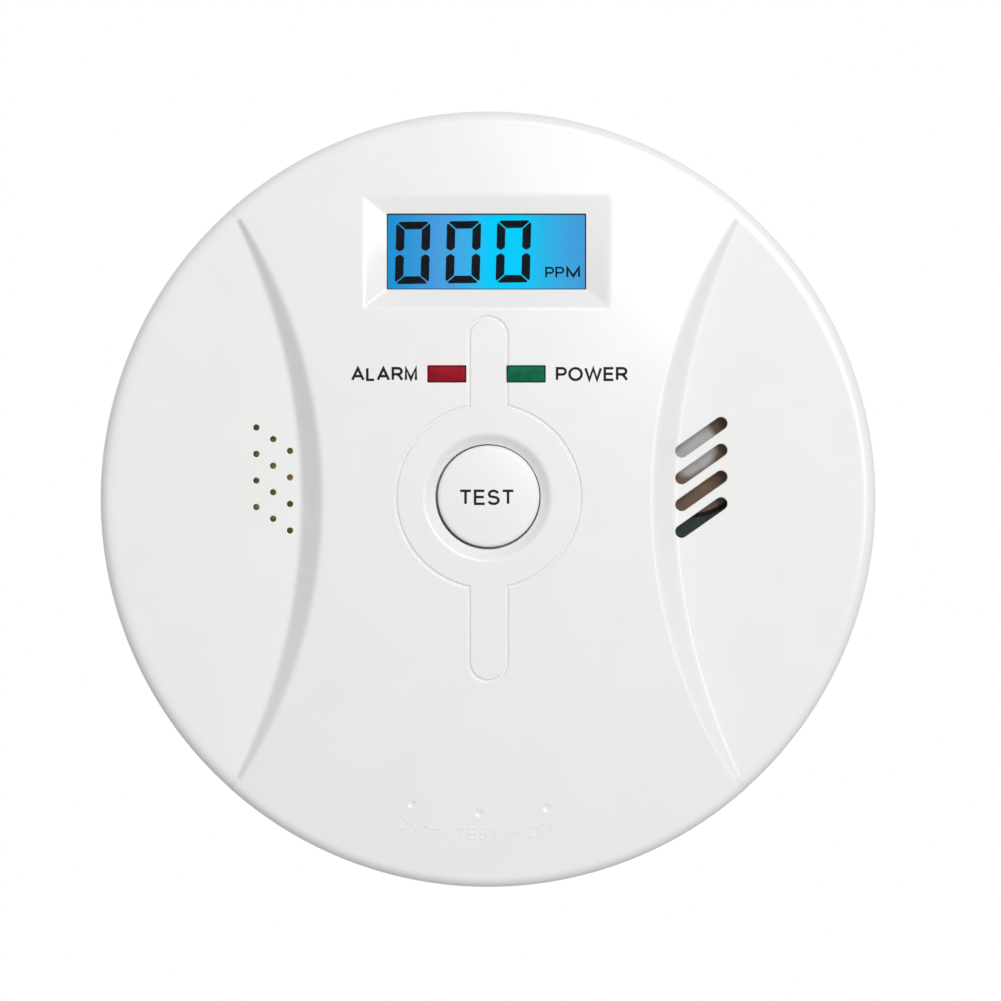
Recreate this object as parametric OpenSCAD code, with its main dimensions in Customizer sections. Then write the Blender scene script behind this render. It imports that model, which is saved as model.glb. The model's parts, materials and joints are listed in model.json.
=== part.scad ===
// Round wall-mounted carbon monoxide alarm: a domed cover with two flat side panels, a case with a battery
// box, a twist-lock wall bracket, and the display, sensor, sounder and circuit board between them.
//
// Every piece is drawn with x to the right, y up the face and z out from the wall, in millimetres. stand()
// then turns the alarm upright, so that the wall is the plane Y = 0 and the face looks along -Y.

/* [Case] */
// Diameter of the front cover
case_d = 100; // [98:1:106]
// Depth from the wall to the top of the dome
case_h = 38; // [38:0.5:42]
// Rise of the dome over the flat side panels
dome_rise = 3.2; // [2.8:0.1:3.4]
// Thickness of the moulded walls
wall = 2; // [1.8:0.1:2.2]

/* [Side panels] */
// Radius of the arc where a panel meets the dome's wall
cut_r = 76; // [70:1:84]
// Distance from the middle of the face to the foot of that wall
cut_near = 24.1; // [23.6:0.1:24.8]
// Slope of the wall between the dome and a panel
cut_slope = 41.8; // [38:0.2:48]

/* [Display] */
// Width of the display window
window_w = 25.7; // [24.1:0.4:26.9]
// Height of the display window
window_h = 9.8; // [9:0.1:10.4]
// Height of the window's middle above the middle of the face
window_y = 31.9; // [31.5:0.1:32.1]

/* [Button] */
// Diameter of the test button
button_d = 12.9; // [12.4:0.1:13.2]
// Clearance around the button
button_gap = 0.3; // [0.25:0.05:0.35]
// Diameter of the dished recess round the button
recess_d = 16.2; // [15.8:0.1:16.6]

/* [Openings in the face] */
// Number of gas slots
gas_slots = 4; // [3:1:4]
// Width of a gas slot
gas_slot_w = 1.65; // [1.4:0.05:1.8]
// Diameter of a sound hole
sound_hole_d = 0.8; // [0.6:0.1:1]

/* [Bracket] */
// Spacing of the two wall screws
screw_spacing = 60; // [56:1:60]
// Width of a wall screw slot
screw_slot_w = 4.4; // [4:0.1:4.8]
// Length of a wall screw slot
screw_slot_l = 8.4; // [7:0.2:9]
// Turn between the ON and OFF marks, in degrees
twist = 24.8; // [24:0.2:28]

/* [Hidden] */
$fn = 96;
eps = 0.01;

// Levels along the depth, from the wall out
plate_t = 2;
bracket_top = 6.3;
case_back = 2.4;
recess_floor = 8;
case_floor = recess_floor + wall;
parting = 14;
bay_ceiling = 23.2;
bay_lid = 24.6;
board_back = 26.8;
board_t = 1.6;
board_front = board_back + board_t;
dome_top = case_h;
panel_z = dome_top - dome_rise;
panel_in = panel_z - wall;
glass_top = panel_z - 0.5;

// Cover
cover_r = case_d / 2;
rim_fillet = 1.8;
rim_steps = 10;
seam = 40;
dome_edge_r = cover_r - rim_fillet - 1.2;
dome_r = (dome_edge_r * dome_edge_r + dome_rise * dome_rise) / (2 * dome_rise);
cut_x = cut_near + cut_r;
cut_spread = 1 / tan(cut_slope);
cover_in_r = cover_r - wall;
cover_start = parting + 0.2;
function dome_z(x, y) = dome_top - dome_r + sqrt(dome_r * dome_r - x * x - y * y);

// Display pocket: its floor, the lip behind it and the four sloping sides
pocket_floor = glass_top + 0.7;
lip_back = glass_top + 0.1;
pocket_top = dome_top + 1;
side_slope = 23;
top_slope = 21;
bottom_slope = 42;

// Test button and the switch under it
button_y = 0.3;
button_r = button_d / 2;
button_top = dome_top - 0.35;
button_edge = 0.5;
dish_foot = button_top - 1;
button_flange_r = 7.6;
flange_top = 33.85;
flange_t = 0.8;
guide_r = 8.2;
guide_foot = 34;
plunger_r = 1.7;
plunger_top = 33.2;
plunger_foot = 30.6;
switch_w = 6;
switch_top = 31.7;
switch_plate_t = 0.3;
switch_pin_x = switch_w / 2 + 0.15;

// Face details
led_x = 5.1;
led_y = 16.1;
led_w = 5;
led_h = 2;
led_play = 0.1;
keyway_r = 11.87;
keyway_bar = 2.5;
keyway_reach = 23.4;
groove_w = 0.5;
groove_depth = 0.3;
sound_x = -27.7;
sound_y = 2.6;
sound_pitch_x = 2.17;
sound_pitch_y = 3.42;
sound_skew = 1.51;
gas_x = 27.5;
gas_y = 2.8;
gas_pitch = 3.45;
gas_slot_l = 6.2;
gas_tilt = 35.2;
dot_r = 40.4;
dot_middle = 268.35;
dot_ball = 1.1;
dot_sunk = 0.3;

// Case
case_back_r = 46.3;
case_mid_r = 49;
case_in_r = 45.9;
recess_r = 41.3;
tongue_r = 47.7;
tongue_top = 16.8;
bay_x = -2.5;
bay_w = 46.2;
bay_l = 59;
bay_wall = 1.5;
boss_circle = 38;
boss_angles = [30, 150, 270];
boss_split = 18;
case_boss_r = 4;
cover_boss_r = 3.2;
screw_head_r = 2.7;
screw_r = 1.35;
head_seat = 11.5;
post_r = 1.6;
vent_count = 7;
vent_step = 6;
vent_w = 1.8;

// Twist lock
lock_angles = [90, 210, 330];
lug_half = 10;
collar_in = 36.4;
collar_out = 38.2;
lug_out = 40.6;
lug_in = 38.6;
lug_foot = 4.8;
catch_foot = 2.6;
catch_top = 4.5;
stop_gap = 0.6;
stop_w = 2.4;
bracket_r = 44.5;

// Circuit board
board_r = 44;
board_screws = [[-22, 24], [22, 24], [-20, -26], [20, -26]];
board_boss_r = 2.4;
board_screw_r = 0.95;

// Display module
glass_w = 30;
glass_low = 24.6;
glass_high = 39;
polariser_t = 0.2;
front_glass_t = 0.8;
cell_gap = 0.1;
rear_glass_t = 0.9;
front_glass_z = glass_top - polariser_t - front_glass_t;
rear_glass_z = front_glass_z - cell_gap - rear_glass_t;
guide_z = board_front + 0.2;
guide_top = rear_glass_z - polariser_t;
ledge = 1;
pin_count = 12;
pin_pitch = 2;
pin_y = 24.1;
pin_w = 0.4;
digit_h = 8;
digit_w = 4.4;
digit_pitch = 6.45;
digit_x = -9.6;
stroke = 0.95;
slant = 2.5;

// Gas sensor
sensor_x = 26.2;
sensor_y = 5.2;
sensor_r = 7;
sensor_foot = 25.1;
sensor_base_t = 1.5;
sensor_top = 31.5;
can_t = 0.3;
sensor_board_z = 23.1;
header_x = 41.2;
header_pitch = 2.54;

// Sounder
ring_in = 9.6;
ring_out = 11;
ring_foot = 30.4;
tape_t = 0.5;
sounder_plate_t = 0.3;
ceramic_t = 0.2;
ceramic_r = 7.5;

// Batteries: three AA cells side by side
cell_r = 7.1;
cell_l = 50.5;
cell_pitch = 15;
cell_z = 15.8;
nub_r = 2.7;
nub_l = 1.2;
cap_t = 0.4;
contact_t = 0.5;
spring_wire = 0.25;
spring_turns = 4;

// ---------------------------------------------------------------- helpers

module stand() {
    rotate([90, 0, 0]) children();
}

// A cylinder from z0 to z1
module rod(r, z0, z1) {
    translate([0, 0, z0]) cylinder(r = r, h = z1 - z0);
}

module tube_ring(r_out, r_in, z0, z1) {
    difference() {
        rod(r_out, z0, z1);
        rod(r_in, z0 - 1, z1 + 1);
    }
}

// A block centred on x and y, from z0 to z1
module block(w, l, z0, z1) {
    translate([-w / 2, -l / 2, z0]) cube([w, l, z1 - z0]);
}

// A piece of a ring between two angles
module ring_sector(r_in, r_out, z0, z1, a0, a1) {
    rotate([0, 0, a0])
        rotate_extrude(angle = a1 - a0) translate([r_in, z0]) square([r_out - r_in, z1 - z0]);
}

module at_angles(radius, angles) {
    for (a = angles) rotate([0, 0, a]) translate([radius, 0, 0]) children();
}

module at_points(points) {
    for (p = points) translate([p[0], p[1], 0]) children();
}

// A slot outline of the given overall length and width, along x
module slot_2d(length, width) {
    square([length - width, width], center = true);
    for (s = [-1, 1]) translate([s * (length - width) / 2, 0]) circle(d = width);
}

function unit(v) = v / norm(v);
function tangents(p) = [for (i = [0 : len(p) - 1]) unit(p[min(i + 1, len(p) - 1)] - p[max(i - 1, 0)])];
function first_normal(t) = unit(cross(t, abs(t[2]) < 0.9 ? [0, 0, 1] : [1, 0, 0]));
function normal_at(t, i) = i == 0 ? first_normal(t[0]) :
    let (n = normal_at(t, i - 1)) unit(n - (n * t[i]) * t[i]);
function spline(p, i, s) = let (a = p[max(i - 1, 0)], b = p[i], c = p[i + 1], d = p[min(i + 2, len(p) - 1)])
    0.5 * (2 * b + (c - a) * s + (2 * a - 5 * b + 4 * c - d) * s * s + (3 * b - a - 3 * c + d) * s * s * s);
function smooth_path(p, steps) = concat(
    [for (i = [0 : len(p) - 2]) for (k = [0 : steps - 1]) spline(p, i, k / steps)], [p[len(p) - 1]]);

// A round wire along a line of points
module wire(p, r, sides = 8) {
    t = tangents(p);
    last = len(p) - 1;
    rings = [for (i = [0 : last]) let (n = normal_at(t, i), b = cross(t[i], n))
        for (k = [0 : sides - 1]) p[i] + r * (cos(k * 360 / sides) * n + sin(k * 360 / sides) * b)];
    skin = [for (i = [0 : last - 1]) for (k = [0 : sides - 1]) let (m = (k + 1) % sides)
        [i * sides + k, (i + 1) * sides + k, (i + 1) * sides + m, i * sides + m]];
    ends = [[for (k = [0 : sides - 1]) k], [for (k = [sides - 1 : -1 : 0]) last * sides + k]];
    polyhedron(points = rings, faces = concat(skin, ends), convexity = 6);
}

// ---------------------------------------------------------------- case

// The cone that leaves a side panel flat; grow moves its wall towards the middle of the face
module panel_cone(side, grow) {
    low = 3;
    high = 6;
    translate([side * cut_x, 0, panel_z - low]) rotate([0, 0, side > 0 ? 0 : 180]) cylinder(
        r1 = cut_r - low * cut_spread + grow, r2 = cut_r + high * cut_spread + grow, h = low + high);
}

// The dome between the panels, less a skin of the given thickness
module dome(skin, edge_r) {
    difference() {
        rotate([0, 0, seam]) rotate_extrude() intersection() {
            translate([0, dome_top - dome_r]) circle(dome_r - skin, $fn = 256);
            translate([0, panel_z - skin - 0.6]) square([edge_r, dome_rise + 2]);
        }
        for (side = [-1, 1]) panel_cone(side, skin / sin(cut_slope));
    }
}

module cover_solid() {
    fillet = [for (i = [0 : rim_steps]) let (a = i * 90 / rim_steps)
        [cover_r - rim_fillet + rim_fillet * cos(a), panel_z - rim_fillet + rim_fillet * sin(a)]];
    rotate([0, 0, seam + 10]) rotate_extrude()
        polygon(concat([[0, cover_start], [cover_r, cover_start]], fillet, [[0, panel_z]]));
    dome(0, dome_edge_r + 0.3);
}

module cover_cavity() {
    rod(cover_in_r, cover_start - 1, panel_in);
    dome(wall, cover_in_r - 1);
}

// The display pocket: a trough along x and a trough along y, where both are open
module display_pocket(grow, floor_z) {
    rise = pocket_top - floor_z;
    half_w = window_w / 2 + grow;
    half_h = window_h / 2 + grow;
    side = rise / tan(side_slope);
    up = rise / tan(top_slope);
    down = rise / tan(bottom_slope);
    translate([0, window_y, floor_z]) intersection() {
        rotate([90, 0, 0]) linear_extrude(height = 60, center = true)
            polygon([[-half_w, 0], [half_w, 0], [half_w + side, rise], [-half_w - side, rise]]);
        rotate([90, 0, 90]) linear_extrude(height = 60, center = true)
            polygon([[-half_h, 0], [half_h, 0], [half_h + up, rise], [-half_h - down, rise]]);
    }
}

// The outline round the button, made of a circle and an upright bar with round ends
module keyway_2d(grow) {
    circle(keyway_r + grow);
    rotate([0, 0, 90]) slot_2d(2 * (keyway_reach + grow), 2 * (keyway_bar + grow));
}

module keyway_groove() {
    difference() {
        translate([0, 0, panel_z]) linear_extrude(height = dome_rise + 1) difference() {
            keyway_2d(groove_w / 2);
            keyway_2d(-groove_w / 2);
        }
        translate([0, 0, dome_top - dome_r]) sphere(dome_r - groove_depth);
    }
}

module gas_slot_cuts() {
    for (i = [0 : gas_slots - 1])
        translate([gas_x, gas_y + gas_pitch * ((gas_slots - 1) / 2 - i), panel_in - 1])
            rotate([0, 0, gas_tilt])
                linear_extrude(height = wall + 2) slot_2d(gas_slot_l + gas_slot_w, gas_slot_w);
}

module sound_hole_cuts() {
    for (column = [-1, 0, 1]) for (row = [-1.5, -0.5, 0.5, 1.5])
        translate([sound_x + column * sound_pitch_x, sound_y + row * sound_pitch_y - column * sound_skew, 0])
            rod(sound_hole_d / 2, panel_in - 1, panel_z + 1);
}

module index_dots() {
    for (i = [-1, 0, 1]) {
        a = dot_middle + i * twist / 2;
        x = dot_r * cos(a);
        y = dot_r * sin(a);
        translate([x, y, dome_z(x, y) + dot_ball - dot_sunk]) sphere(dot_ball, $fn = 48);
    }
}

module front_housing() color("white") stand() difference() {
    union() {
        difference() {
            cover_solid();
            difference() {
                cover_cavity();
                display_pocket(wall, lip_back);
            }
        }
        intersection() {
            cover_solid();
            union() {
                at_angles(boss_circle, boss_angles) rod(cover_boss_r, boss_split + 0.2, dome_top);
                at_points(board_screws) rod(board_boss_r, board_front, dome_top);
                translate([sound_x, sound_y, 0]) tube_ring(ring_out, ring_in, ring_foot, dome_top);
                translate([0, button_y, 0]) rod(guide_r, guide_foot, dome_top - eps);
            }
        }
    }
    display_pocket(0, pocket_floor);
    translate([0, window_y, 0]) block(window_w, window_h, lip_back - 1, pocket_floor + 1);
    translate([-glass_w / 2 - 0.2, glass_low - 0.2, panel_in - 2])
        cube([glass_w + 0.4, glass_high - glass_low + 0.4, lip_back - panel_in + 2]);
    for (s = [-1, 1]) translate([s * led_x, led_y, 0])
        block(led_w + 2 * led_play, led_h + 2 * led_play, panel_in, dome_top + 1);
    translate([0, button_y, 0]) {
        rod(button_r + button_gap, guide_foot - 1, dome_top + 1);
        translate([0, 0, dish_foot]) cylinder(
            r1 = button_r + button_gap, r2 = recess_d / 2 + 0.1, h = dome_top - dish_foot + 0.1);
    }
    keyway_groove();
    gas_slot_cuts();
    sound_hole_cuts();
    index_dots();
    at_angles(boss_circle, boss_angles) rod(screw_r + 0.05, boss_split - 1, 27);
    at_points(board_screws) rod(board_screw_r + 0.05, board_front - 1, 33.6);
}

module case_shell() {
    rotate_extrude() polygon([[0, recess_floor], [recess_r, recess_floor], [recess_r, case_back],
        [case_back_r - 0.6, case_back], [case_back_r, case_back + 0.6], [case_mid_r, parting - 0.6],
        [case_mid_r, parting], [tongue_r, parting], [tongue_r, tongue_top], [case_in_r, tongue_top],
        [case_in_r, case_floor], [0, case_floor]]);
}

module twist_catches() {
    for (a = lock_angles) {
        ring_sector(lug_in, recess_r + 0.5, catch_foot, catch_top, a - lug_half, a + lug_half);
        ring_sector(lug_in + 0.3, recess_r + 0.5, lug_foot + 0.1, recess_floor + 0.5,
            a - lug_half - stop_gap - stop_w, a - lug_half - stop_gap);
        ring_sector(lug_in + 0.3, recess_r + 0.5, lug_foot + 0.1, recess_floor + 0.5,
            a + lug_half + stop_gap + twist, a + lug_half + stop_gap + twist + stop_w);
    }
}

module vent_cuts() {
    for (up = [90, 270]) for (i = [0 : vent_count - 1])
        rotate([0, 0, up + (i - (vent_count - 1) / 2) * vent_step])
            translate([case_in_r - 1, -vent_w / 2, case_floor + 0.4])
                cube([6, vent_w, parting - case_floor - 1]);
}

module battery_box() {
    translate([bay_x, 0, 0]) block(bay_w + 2 * bay_wall, bay_l + 2 * bay_wall, recess_floor, bay_lid);
}

module battery_cavity() {
    rib_w = 1.2;
    rib_h = 3;
    translate([bay_x, 0, 0]) difference() {
        block(bay_w, bay_l, recess_floor - 1, bay_ceiling);
        for (s = [-1, 1]) translate([s * cell_pitch / 2, 0, 0])
            block(rib_w, bay_l - 12, bay_ceiling - rib_h, bay_ceiling + 1);
    }
}

// Slots in the end walls of the battery box, where the two terminal tabs come out
module tab_cuts() {
    for (s = [-1, 1]) translate([bay_x + s * cell_pitch, s * bay_l / 2, 0])
        block(4.4, 2 * bay_wall + 1, 17.6, 20.4);
}

module rear_housing() color("whitesmoke") stand() difference() {
    union() {
        case_shell();
        battery_box();
        twist_catches();
        at_angles(boss_circle, boss_angles) rod(case_boss_r, case_floor - 1, boss_split);
        for (y = [-8.4, 8]) translate([header_x - 1.7, sensor_y + y, 0])
            rod(post_r, case_floor - 1, sensor_board_z);
    }
    battery_cavity();
    tab_cuts();
    vent_cuts();
    at_angles(boss_circle, boss_angles) {
        rod(screw_head_r + 0.3, recess_floor - 1, head_seat);
        rod(screw_r + 0.25, head_seat - 1, boss_split + 1);
    }
}

module housing_screws() color("silver") stand() at_angles(boss_circle, boss_angles) difference() {
    head_t = 1.7;
    cross_w = 0.8;
    union() {
        rod(screw_head_r, head_seat - head_t, head_seat);
        rod(screw_r, head_seat - 0.5, 25.5);
    }
    for (turn = [0, 90]) rotate([0, 0, turn]) block(3.4, cross_w, head_seat - head_t - 1, head_seat - 0.9);
}

// ---------------------------------------------------------------- bracket

module bracket_ribs() {
    rib_h = 1;
    rib_w = 1.4;
    difference() {
        union() {
            for (a = [45, 135, 225, 315]) rotate([0, 0, a]) translate([8, -rib_w / 2, plate_t - 0.5])
                cube([collar_in - 7.5, rib_w, rib_h + 0.5]);
            tube_ring(9.4, 8, plate_t - 0.5, plate_t + rib_h);
        }
        rod(7, plate_t - 1, plate_t + 3);
    }
}

module mounting_bracket() color("whitesmoke") stand() difference() {
    edge = 0.4;
    pointer = dot_middle - twist / 2;
    union() {
        rotate_extrude() polygon([[0, 0], [bracket_r - edge, 0], [bracket_r, edge],
            [bracket_r, plate_t - edge], [bracket_r - edge, plate_t], [0, plate_t]]);
        tube_ring(collar_out, collar_in, plate_t - 0.5, bracket_top);
        for (a = lock_angles)
            ring_sector(collar_out - 0.5, lug_out, lug_foot, bracket_top, a - lug_half, a + lug_half);
        ring_sector(bracket_r - 1, bracket_r + 1.3, 0, plate_t, pointer - 2, pointer + 2);
        bracket_ribs();
    }
    for (s = [-1, 1]) translate([s * screw_spacing / 2, 0, -1])
        linear_extrude(height = plate_t + 2) slot_2d(screw_slot_l, screw_slot_w);
}

// ---------------------------------------------------------------- button and switch

module test_button() color("white") stand() translate([0, button_y, 0]) {
    crown = 0.3;
    roof = 1.3;
    post_tip_r = 1.6;
    edge_steps = 6;
    rounding = [for (i = [0 : edge_steps]) let (a = i * 90 / edge_steps) [
        button_r - button_edge + button_edge * cos(a),
        button_top - crown - button_edge + button_edge * sin(a)]];
    rotate_extrude() polygon(concat(
        [[0, plunger_top], [post_tip_r, plunger_top], [post_tip_r, button_top - crown - roof],
            [button_r - roof, button_top - crown - roof], [button_r - roof, flange_top - flange_t],
            [button_flange_r, flange_top - flange_t], [button_flange_r, flange_top], [button_r, flange_top]],
        rounding, [[button_r * 0.55, button_top - crown * 0.3], [0, button_top]]));
}

module tact_switch_body() color("dimgray") stand() translate([0, button_y, 0]) difference() {
    block(switch_w, switch_w, board_front, switch_top);
    rod(plunger_r + 0.3, board_front + 1.2, switch_top + 1);
}

module tact_switch_cover() color("silver") stand() translate([0, button_y, 0]) difference() {
    block(switch_w, switch_w, switch_top, switch_top + switch_plate_t);
    rod(plunger_r + 0.3, switch_top - 1, switch_top + 2);
}

module tact_switch_plunger() color("dimgray") stand() translate([0, button_y, 0])
    rod(plunger_r, plunger_foot, plunger_top);

module tact_switch_pins() color("silver") stand() translate([0, button_y, 0])
    for (sx = [-1, 1]) for (sy = [-1, 1]) translate([sx * switch_pin_x, sy * 2.25, 0])
        block(0.3, 0.7, board_back - 0.9, board_front + 1.1);

// ---------------------------------------------------------------- display

module glass_sheet(low, high, z0, thickness) {
    translate([-glass_w / 2, low, z0]) cube([glass_w, high - low, thickness]);
}

module lcd_front_polariser() color("lightskyblue", 0.5) stand() translate([0, window_y, 0])
    block(glass_w - 1.6, 12, glass_top - polariser_t, glass_top);

module lcd_front_glass() color("lightcyan", 0.4) stand()
    glass_sheet(glass_low + ledge, glass_high, front_glass_z, front_glass_t);

module lcd_rear_glass() color("lightcyan", 0.4) stand()
    glass_sheet(glass_low, glass_high, rear_glass_z, rear_glass_t);

module lcd_rear_polariser() color("lightskyblue", 0.5) stand() translate([0, window_y, 0])
    block(glass_w - 1.6, 12, rear_glass_z - polariser_t, rear_glass_z);

module lcd_seal() color("gray") stand() difference() {
    inset = 1;
    bead = 0.8;
    low = glass_low + ledge + 0.1;
    high = glass_high - 0.1;
    half = glass_w / 2 - 0.1;
    translate([-half, low, rear_glass_z + rear_glass_t]) cube([2 * half, high - low, cell_gap]);
    translate([-half + bead, low + bead, 0])
        cube([2 * (half - bead), high - low - 2 * bead, dome_top]);
}

module segment_2d(length) {
    half = length / 2 - 0.12;
    tip = stroke / 2;
    side = half - tip;
    polygon([[-half, 0], [-side, tip], [side, tip], [half, 0], [side, -tip], [-side, -tip]]);
}

// The four upright and two level strokes of a figure nought
module nought_2d() {
    half_w = (digit_w - stroke) / 2;
    half_h = (digit_h - stroke) / 2;
    for (s = [-1, 1]) {
        translate([0, s * half_h]) segment_2d(2 * half_w + stroke * 0.8);
        for (up = [-1, 1]) translate([s * half_w, up * half_h / 2]) rotate([0, 0, 90]) segment_2d(half_h);
    }
}

module lcd_segments() color("black") stand()
    translate([0, window_y, rear_glass_z + rear_glass_t + 0.02]) linear_extrude(height = cell_gap - 0.04)
        for (i = [0 : 2]) translate([digit_x + i * digit_pitch, 0])
            multmatrix([[1, tan(slant), 0, 0], [0, 1, 0, 0], [0, 0, 1, 0]]) nought_2d();

module lcd_light_guide() color("aliceblue") stand() translate([0, window_y, 0])
    block(glass_w - 1, 12.6, guide_z, guide_top);

module lcd_backlight_leds() color("ivory") stand()
    for (x = [-6, 6]) translate([x, 25, 0]) block(3, 0.9, guide_z, guide_z + 1.2);

module lcd_frame() color("white") stand() difference() {
    rim = 1.6;
    half = glass_w / 2 + rim;
    translate([-half, 25.4, board_front]) cube([2 * half, glass_high + rim - 25.4, 4]);
    translate([-glass_w / 2 - 0.1, 20, board_front - 1]) cube([glass_w + 0.2, glass_high + 0.1 - 20, 6]);
}

module lcd_pins() color("silver") stand() for (i = [0 : pin_count - 1])
    translate([(i - (pin_count - 1) / 2) * pin_pitch, pin_y, 0]) {
        ledge_top = rear_glass_z + rear_glass_t;
        block(pin_w, pin_w, board_back - 1, ledge_top + 0.3);
        translate([0, 0.55, 0]) block(pin_w, 0.75, ledge_top, ledge_top + 0.3);
    }

// ---------------------------------------------------------------- indicator lamps

module indicator(side) {
    foot = 29.6;
    translate([side * led_x, led_y, 0]) {
        block(led_w, led_h, foot, dome_z(led_x, led_y) - 0.25);
        block(led_w + 0.6, led_h + 0.6, foot, foot + 0.8);
    }
}

module alarm_led() color("crimson") stand() indicator(-1);

module power_led() color("seagreen") stand() indicator(1);

module led_leads() color("silver") stand()
    for (side = [-1, 1]) for (s = [-1, 1]) translate([side * led_x + s * 1.27, led_y, 0])
        block(0.5, 0.5, board_back - 1, 29.6);

// ---------------------------------------------------------------- circuit board

module main_pcb() color("darkgreen") stand() difference() {
    rod(board_r, board_back, board_front);
    at_angles(boss_circle, boss_angles) rod(cover_boss_r + 0.6, board_back - 1, board_front + 1);
    at_angles(boss_circle + 5, boss_angles)
        block(10, 2 * cover_boss_r + 1.2, board_back - 1, board_front + 1);
    translate([sensor_x, sensor_y, 0]) rod(sensor_r + 0.6, board_back - 1, board_front + 1);
    at_points(board_screws) rod(1.2, board_back - 1, board_front + 1);
    for (i = [0 : pin_count - 1]) translate([(i - (pin_count - 1) / 2) * pin_pitch, pin_y, 0])
        rod(0.4, board_back - 1, board_front + 1);
    for (side = [-1, 1]) for (s = [-1, 1]) translate([side * led_x + s * 1.27, led_y, 0])
        rod(0.45, board_back - 1, board_front + 1);
    for (sx = [-1, 1]) for (sy = [-1, 1]) translate([sx * switch_pin_x, button_y + sy * 2.25, 0])
        rod(0.5, board_back - 1, board_front + 1);
    header_holes(board_back - 1, board_front + 1);
    at_points([[-8, -34], [20, 35]]) rod(1.1, board_back - 1, board_front + 1);
}

module pcb_screws() color("silver") stand() at_points(board_screws) difference() {
    union() {
        rod(2, board_back - 1.4, board_back);
        rod(board_screw_r, board_back - 0.5, 33);
    }
    for (turn = [0, 90]) rotate([0, 0, turn]) block(2.6, 0.6, board_back - 2, board_back - 0.8);
}

mcu_at = [4, -16];
amp_at = [15, -6];
chip_foot = board_front + 0.2;

module microcontroller() color("black") stand() translate([mcu_at[0], mcu_at[1], 0])
    block(12.8, 7.5, chip_foot, chip_foot + 2.2);

module amplifier_chip() color("black") stand() translate([amp_at[0], amp_at[1], 0])
    block(4.9, 3.9, chip_foot, chip_foot + 1.5);

// One bent lead of a surface-mounted chip, pointing along y
module gull_lead(body_half) {
    translate([0, body_half + 0.4, 0]) block(0.42, 0.8, board_front + 0.8, board_front + 1);
    translate([0, body_half + 0.7, 0]) block(0.42, 0.2, board_front, board_front + 1);
    translate([0, body_half + 1, 0]) block(0.42, 0.8, board_front, board_front + 0.2);
}

module lead_rows(at, count, body_half) {
    translate([at[0], at[1], 0]) for (turn = [0, 180]) rotate([0, 0, turn])
        for (i = [0 : count - 1]) translate([(i - (count - 1) / 2) * 1.27, 0, 0]) gull_lead(body_half);
}

module chip_leads() color("silver") stand() {
    lead_rows(mcu_at, 10, 7.5 / 2);
    lead_rows(amp_at, 4, 3.9 / 2);
}

module quartz_crystal() color("silver") stand() translate([-9.5, -20.5, board_front])
    linear_extrude(height = 3.6) slot_2d(11, 4.6);

module capacitor_cans() color("midnightblue") stand() {
    for (c = [[-14, 13, 3.15], [14, 13, 2.5], [14.5, -20, 2.5]]) translate([c[0], c[1], 0]) {
        rod(c[2], board_front, board_front + 0.8);
        rod(c[2] - 0.2, board_front + 0.8, board_front + 1.4);
        rod(c[2], board_front + 1.4, board_front + 5.8);
    }
}

inductor_at = [-10, -9];
inductor_r = 4.2;
flange_h = 0.9;
inductor_h = 5;

module inductor_core() color("dimgray") stand() translate([inductor_at[0], inductor_at[1], 0]) {
    rod(inductor_r, board_front, board_front + flange_h);
    rod(2, board_front, board_front + inductor_h);
    rod(inductor_r, board_front + inductor_h - flange_h, board_front + inductor_h);
}

module inductor_winding() color("peru") stand() translate([inductor_at[0], inductor_at[1], 0])
    tube_ring(inductor_r - 0.3, 2, board_front + flange_h, board_front + inductor_h - flange_h);

module transistors() color("black") stand()
    at_points([[-14, -26], [-4, 9], [4, 9], [10, 3]]) block(2.9, 1.4, board_front, board_front + 1.1);

module chip_resistors() color("black") stand()
    for (i = [0 : 9]) translate([-13.5 + 3 * i, -30, 0]) block(1.25, 2, board_front, board_front + 0.5);

module chip_capacitors() color("tan") stand()
    at_points([[-12, 4], [-12, 1], [12, 7], [16, 3], [16, 0], [-14, -15], [10, -25], [-8, -26], [-4, -26]])
        block(2, 1.25, board_front, board_front + 0.9);

// ---------------------------------------------------------------- gas sensor

module at_sensor() {
    translate([sensor_x, sensor_y, 0]) children();
}

module co_sensor_can() color("silver") stand() at_sensor() difference() {
    rod(sensor_r, sensor_foot + sensor_base_t, sensor_top);
    rod(sensor_r - can_t, sensor_foot, sensor_top - can_t);
    rod(0.5, sensor_top - 1, sensor_top + 1);
}

module co_sensor_filter() color("saddlebrown") stand() at_sensor()
    rod(sensor_r - can_t - 0.1, sensor_top - can_t - 1.2, sensor_top - can_t);

module co_sensor_cell() color("gray") stand() at_sensor()
    rod(sensor_r - can_t - 0.1, sensor_foot + sensor_base_t, sensor_top - can_t - 1.2);

module co_sensor_base() color("saddlebrown") stand() at_sensor()
    rod(sensor_r, sensor_foot, sensor_foot + sensor_base_t);

sensor_pins = [[-2.6, 0], [3, 3.5], [3, -3.5]];

module co_sensor_pins() color("gold") stand() at_sensor()
    at_points(sensor_pins) rod(0.45, sensor_board_z - 1, sensor_foot);

module header_holes(z0, z1) {
    for (i = [-1.5, -0.5, 0.5, 1.5]) translate([header_x, sensor_y + i * header_pitch, 0]) rod(0.5, z0, z1);
}

module sensor_board() color("saddlebrown") stand() difference() {
    z1 = sensor_board_z + board_t;
    translate([22.6, sensor_y - 10.4, sensor_board_z]) cube([20, 19.4, board_t]);
    at_sensor() at_points(sensor_pins) rod(0.55, sensor_board_z - 1, z1 + 1);
    header_holes(sensor_board_z - 1, z1 + 1);
}

module sensor_header() color("black") stand() difference() {
    z0 = sensor_board_z + board_t;
    translate([header_x, sensor_y, 0]) block(2.4, 4 * header_pitch, z0, board_back);
    header_holes(z0 - 1, board_back + 1);
}

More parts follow.
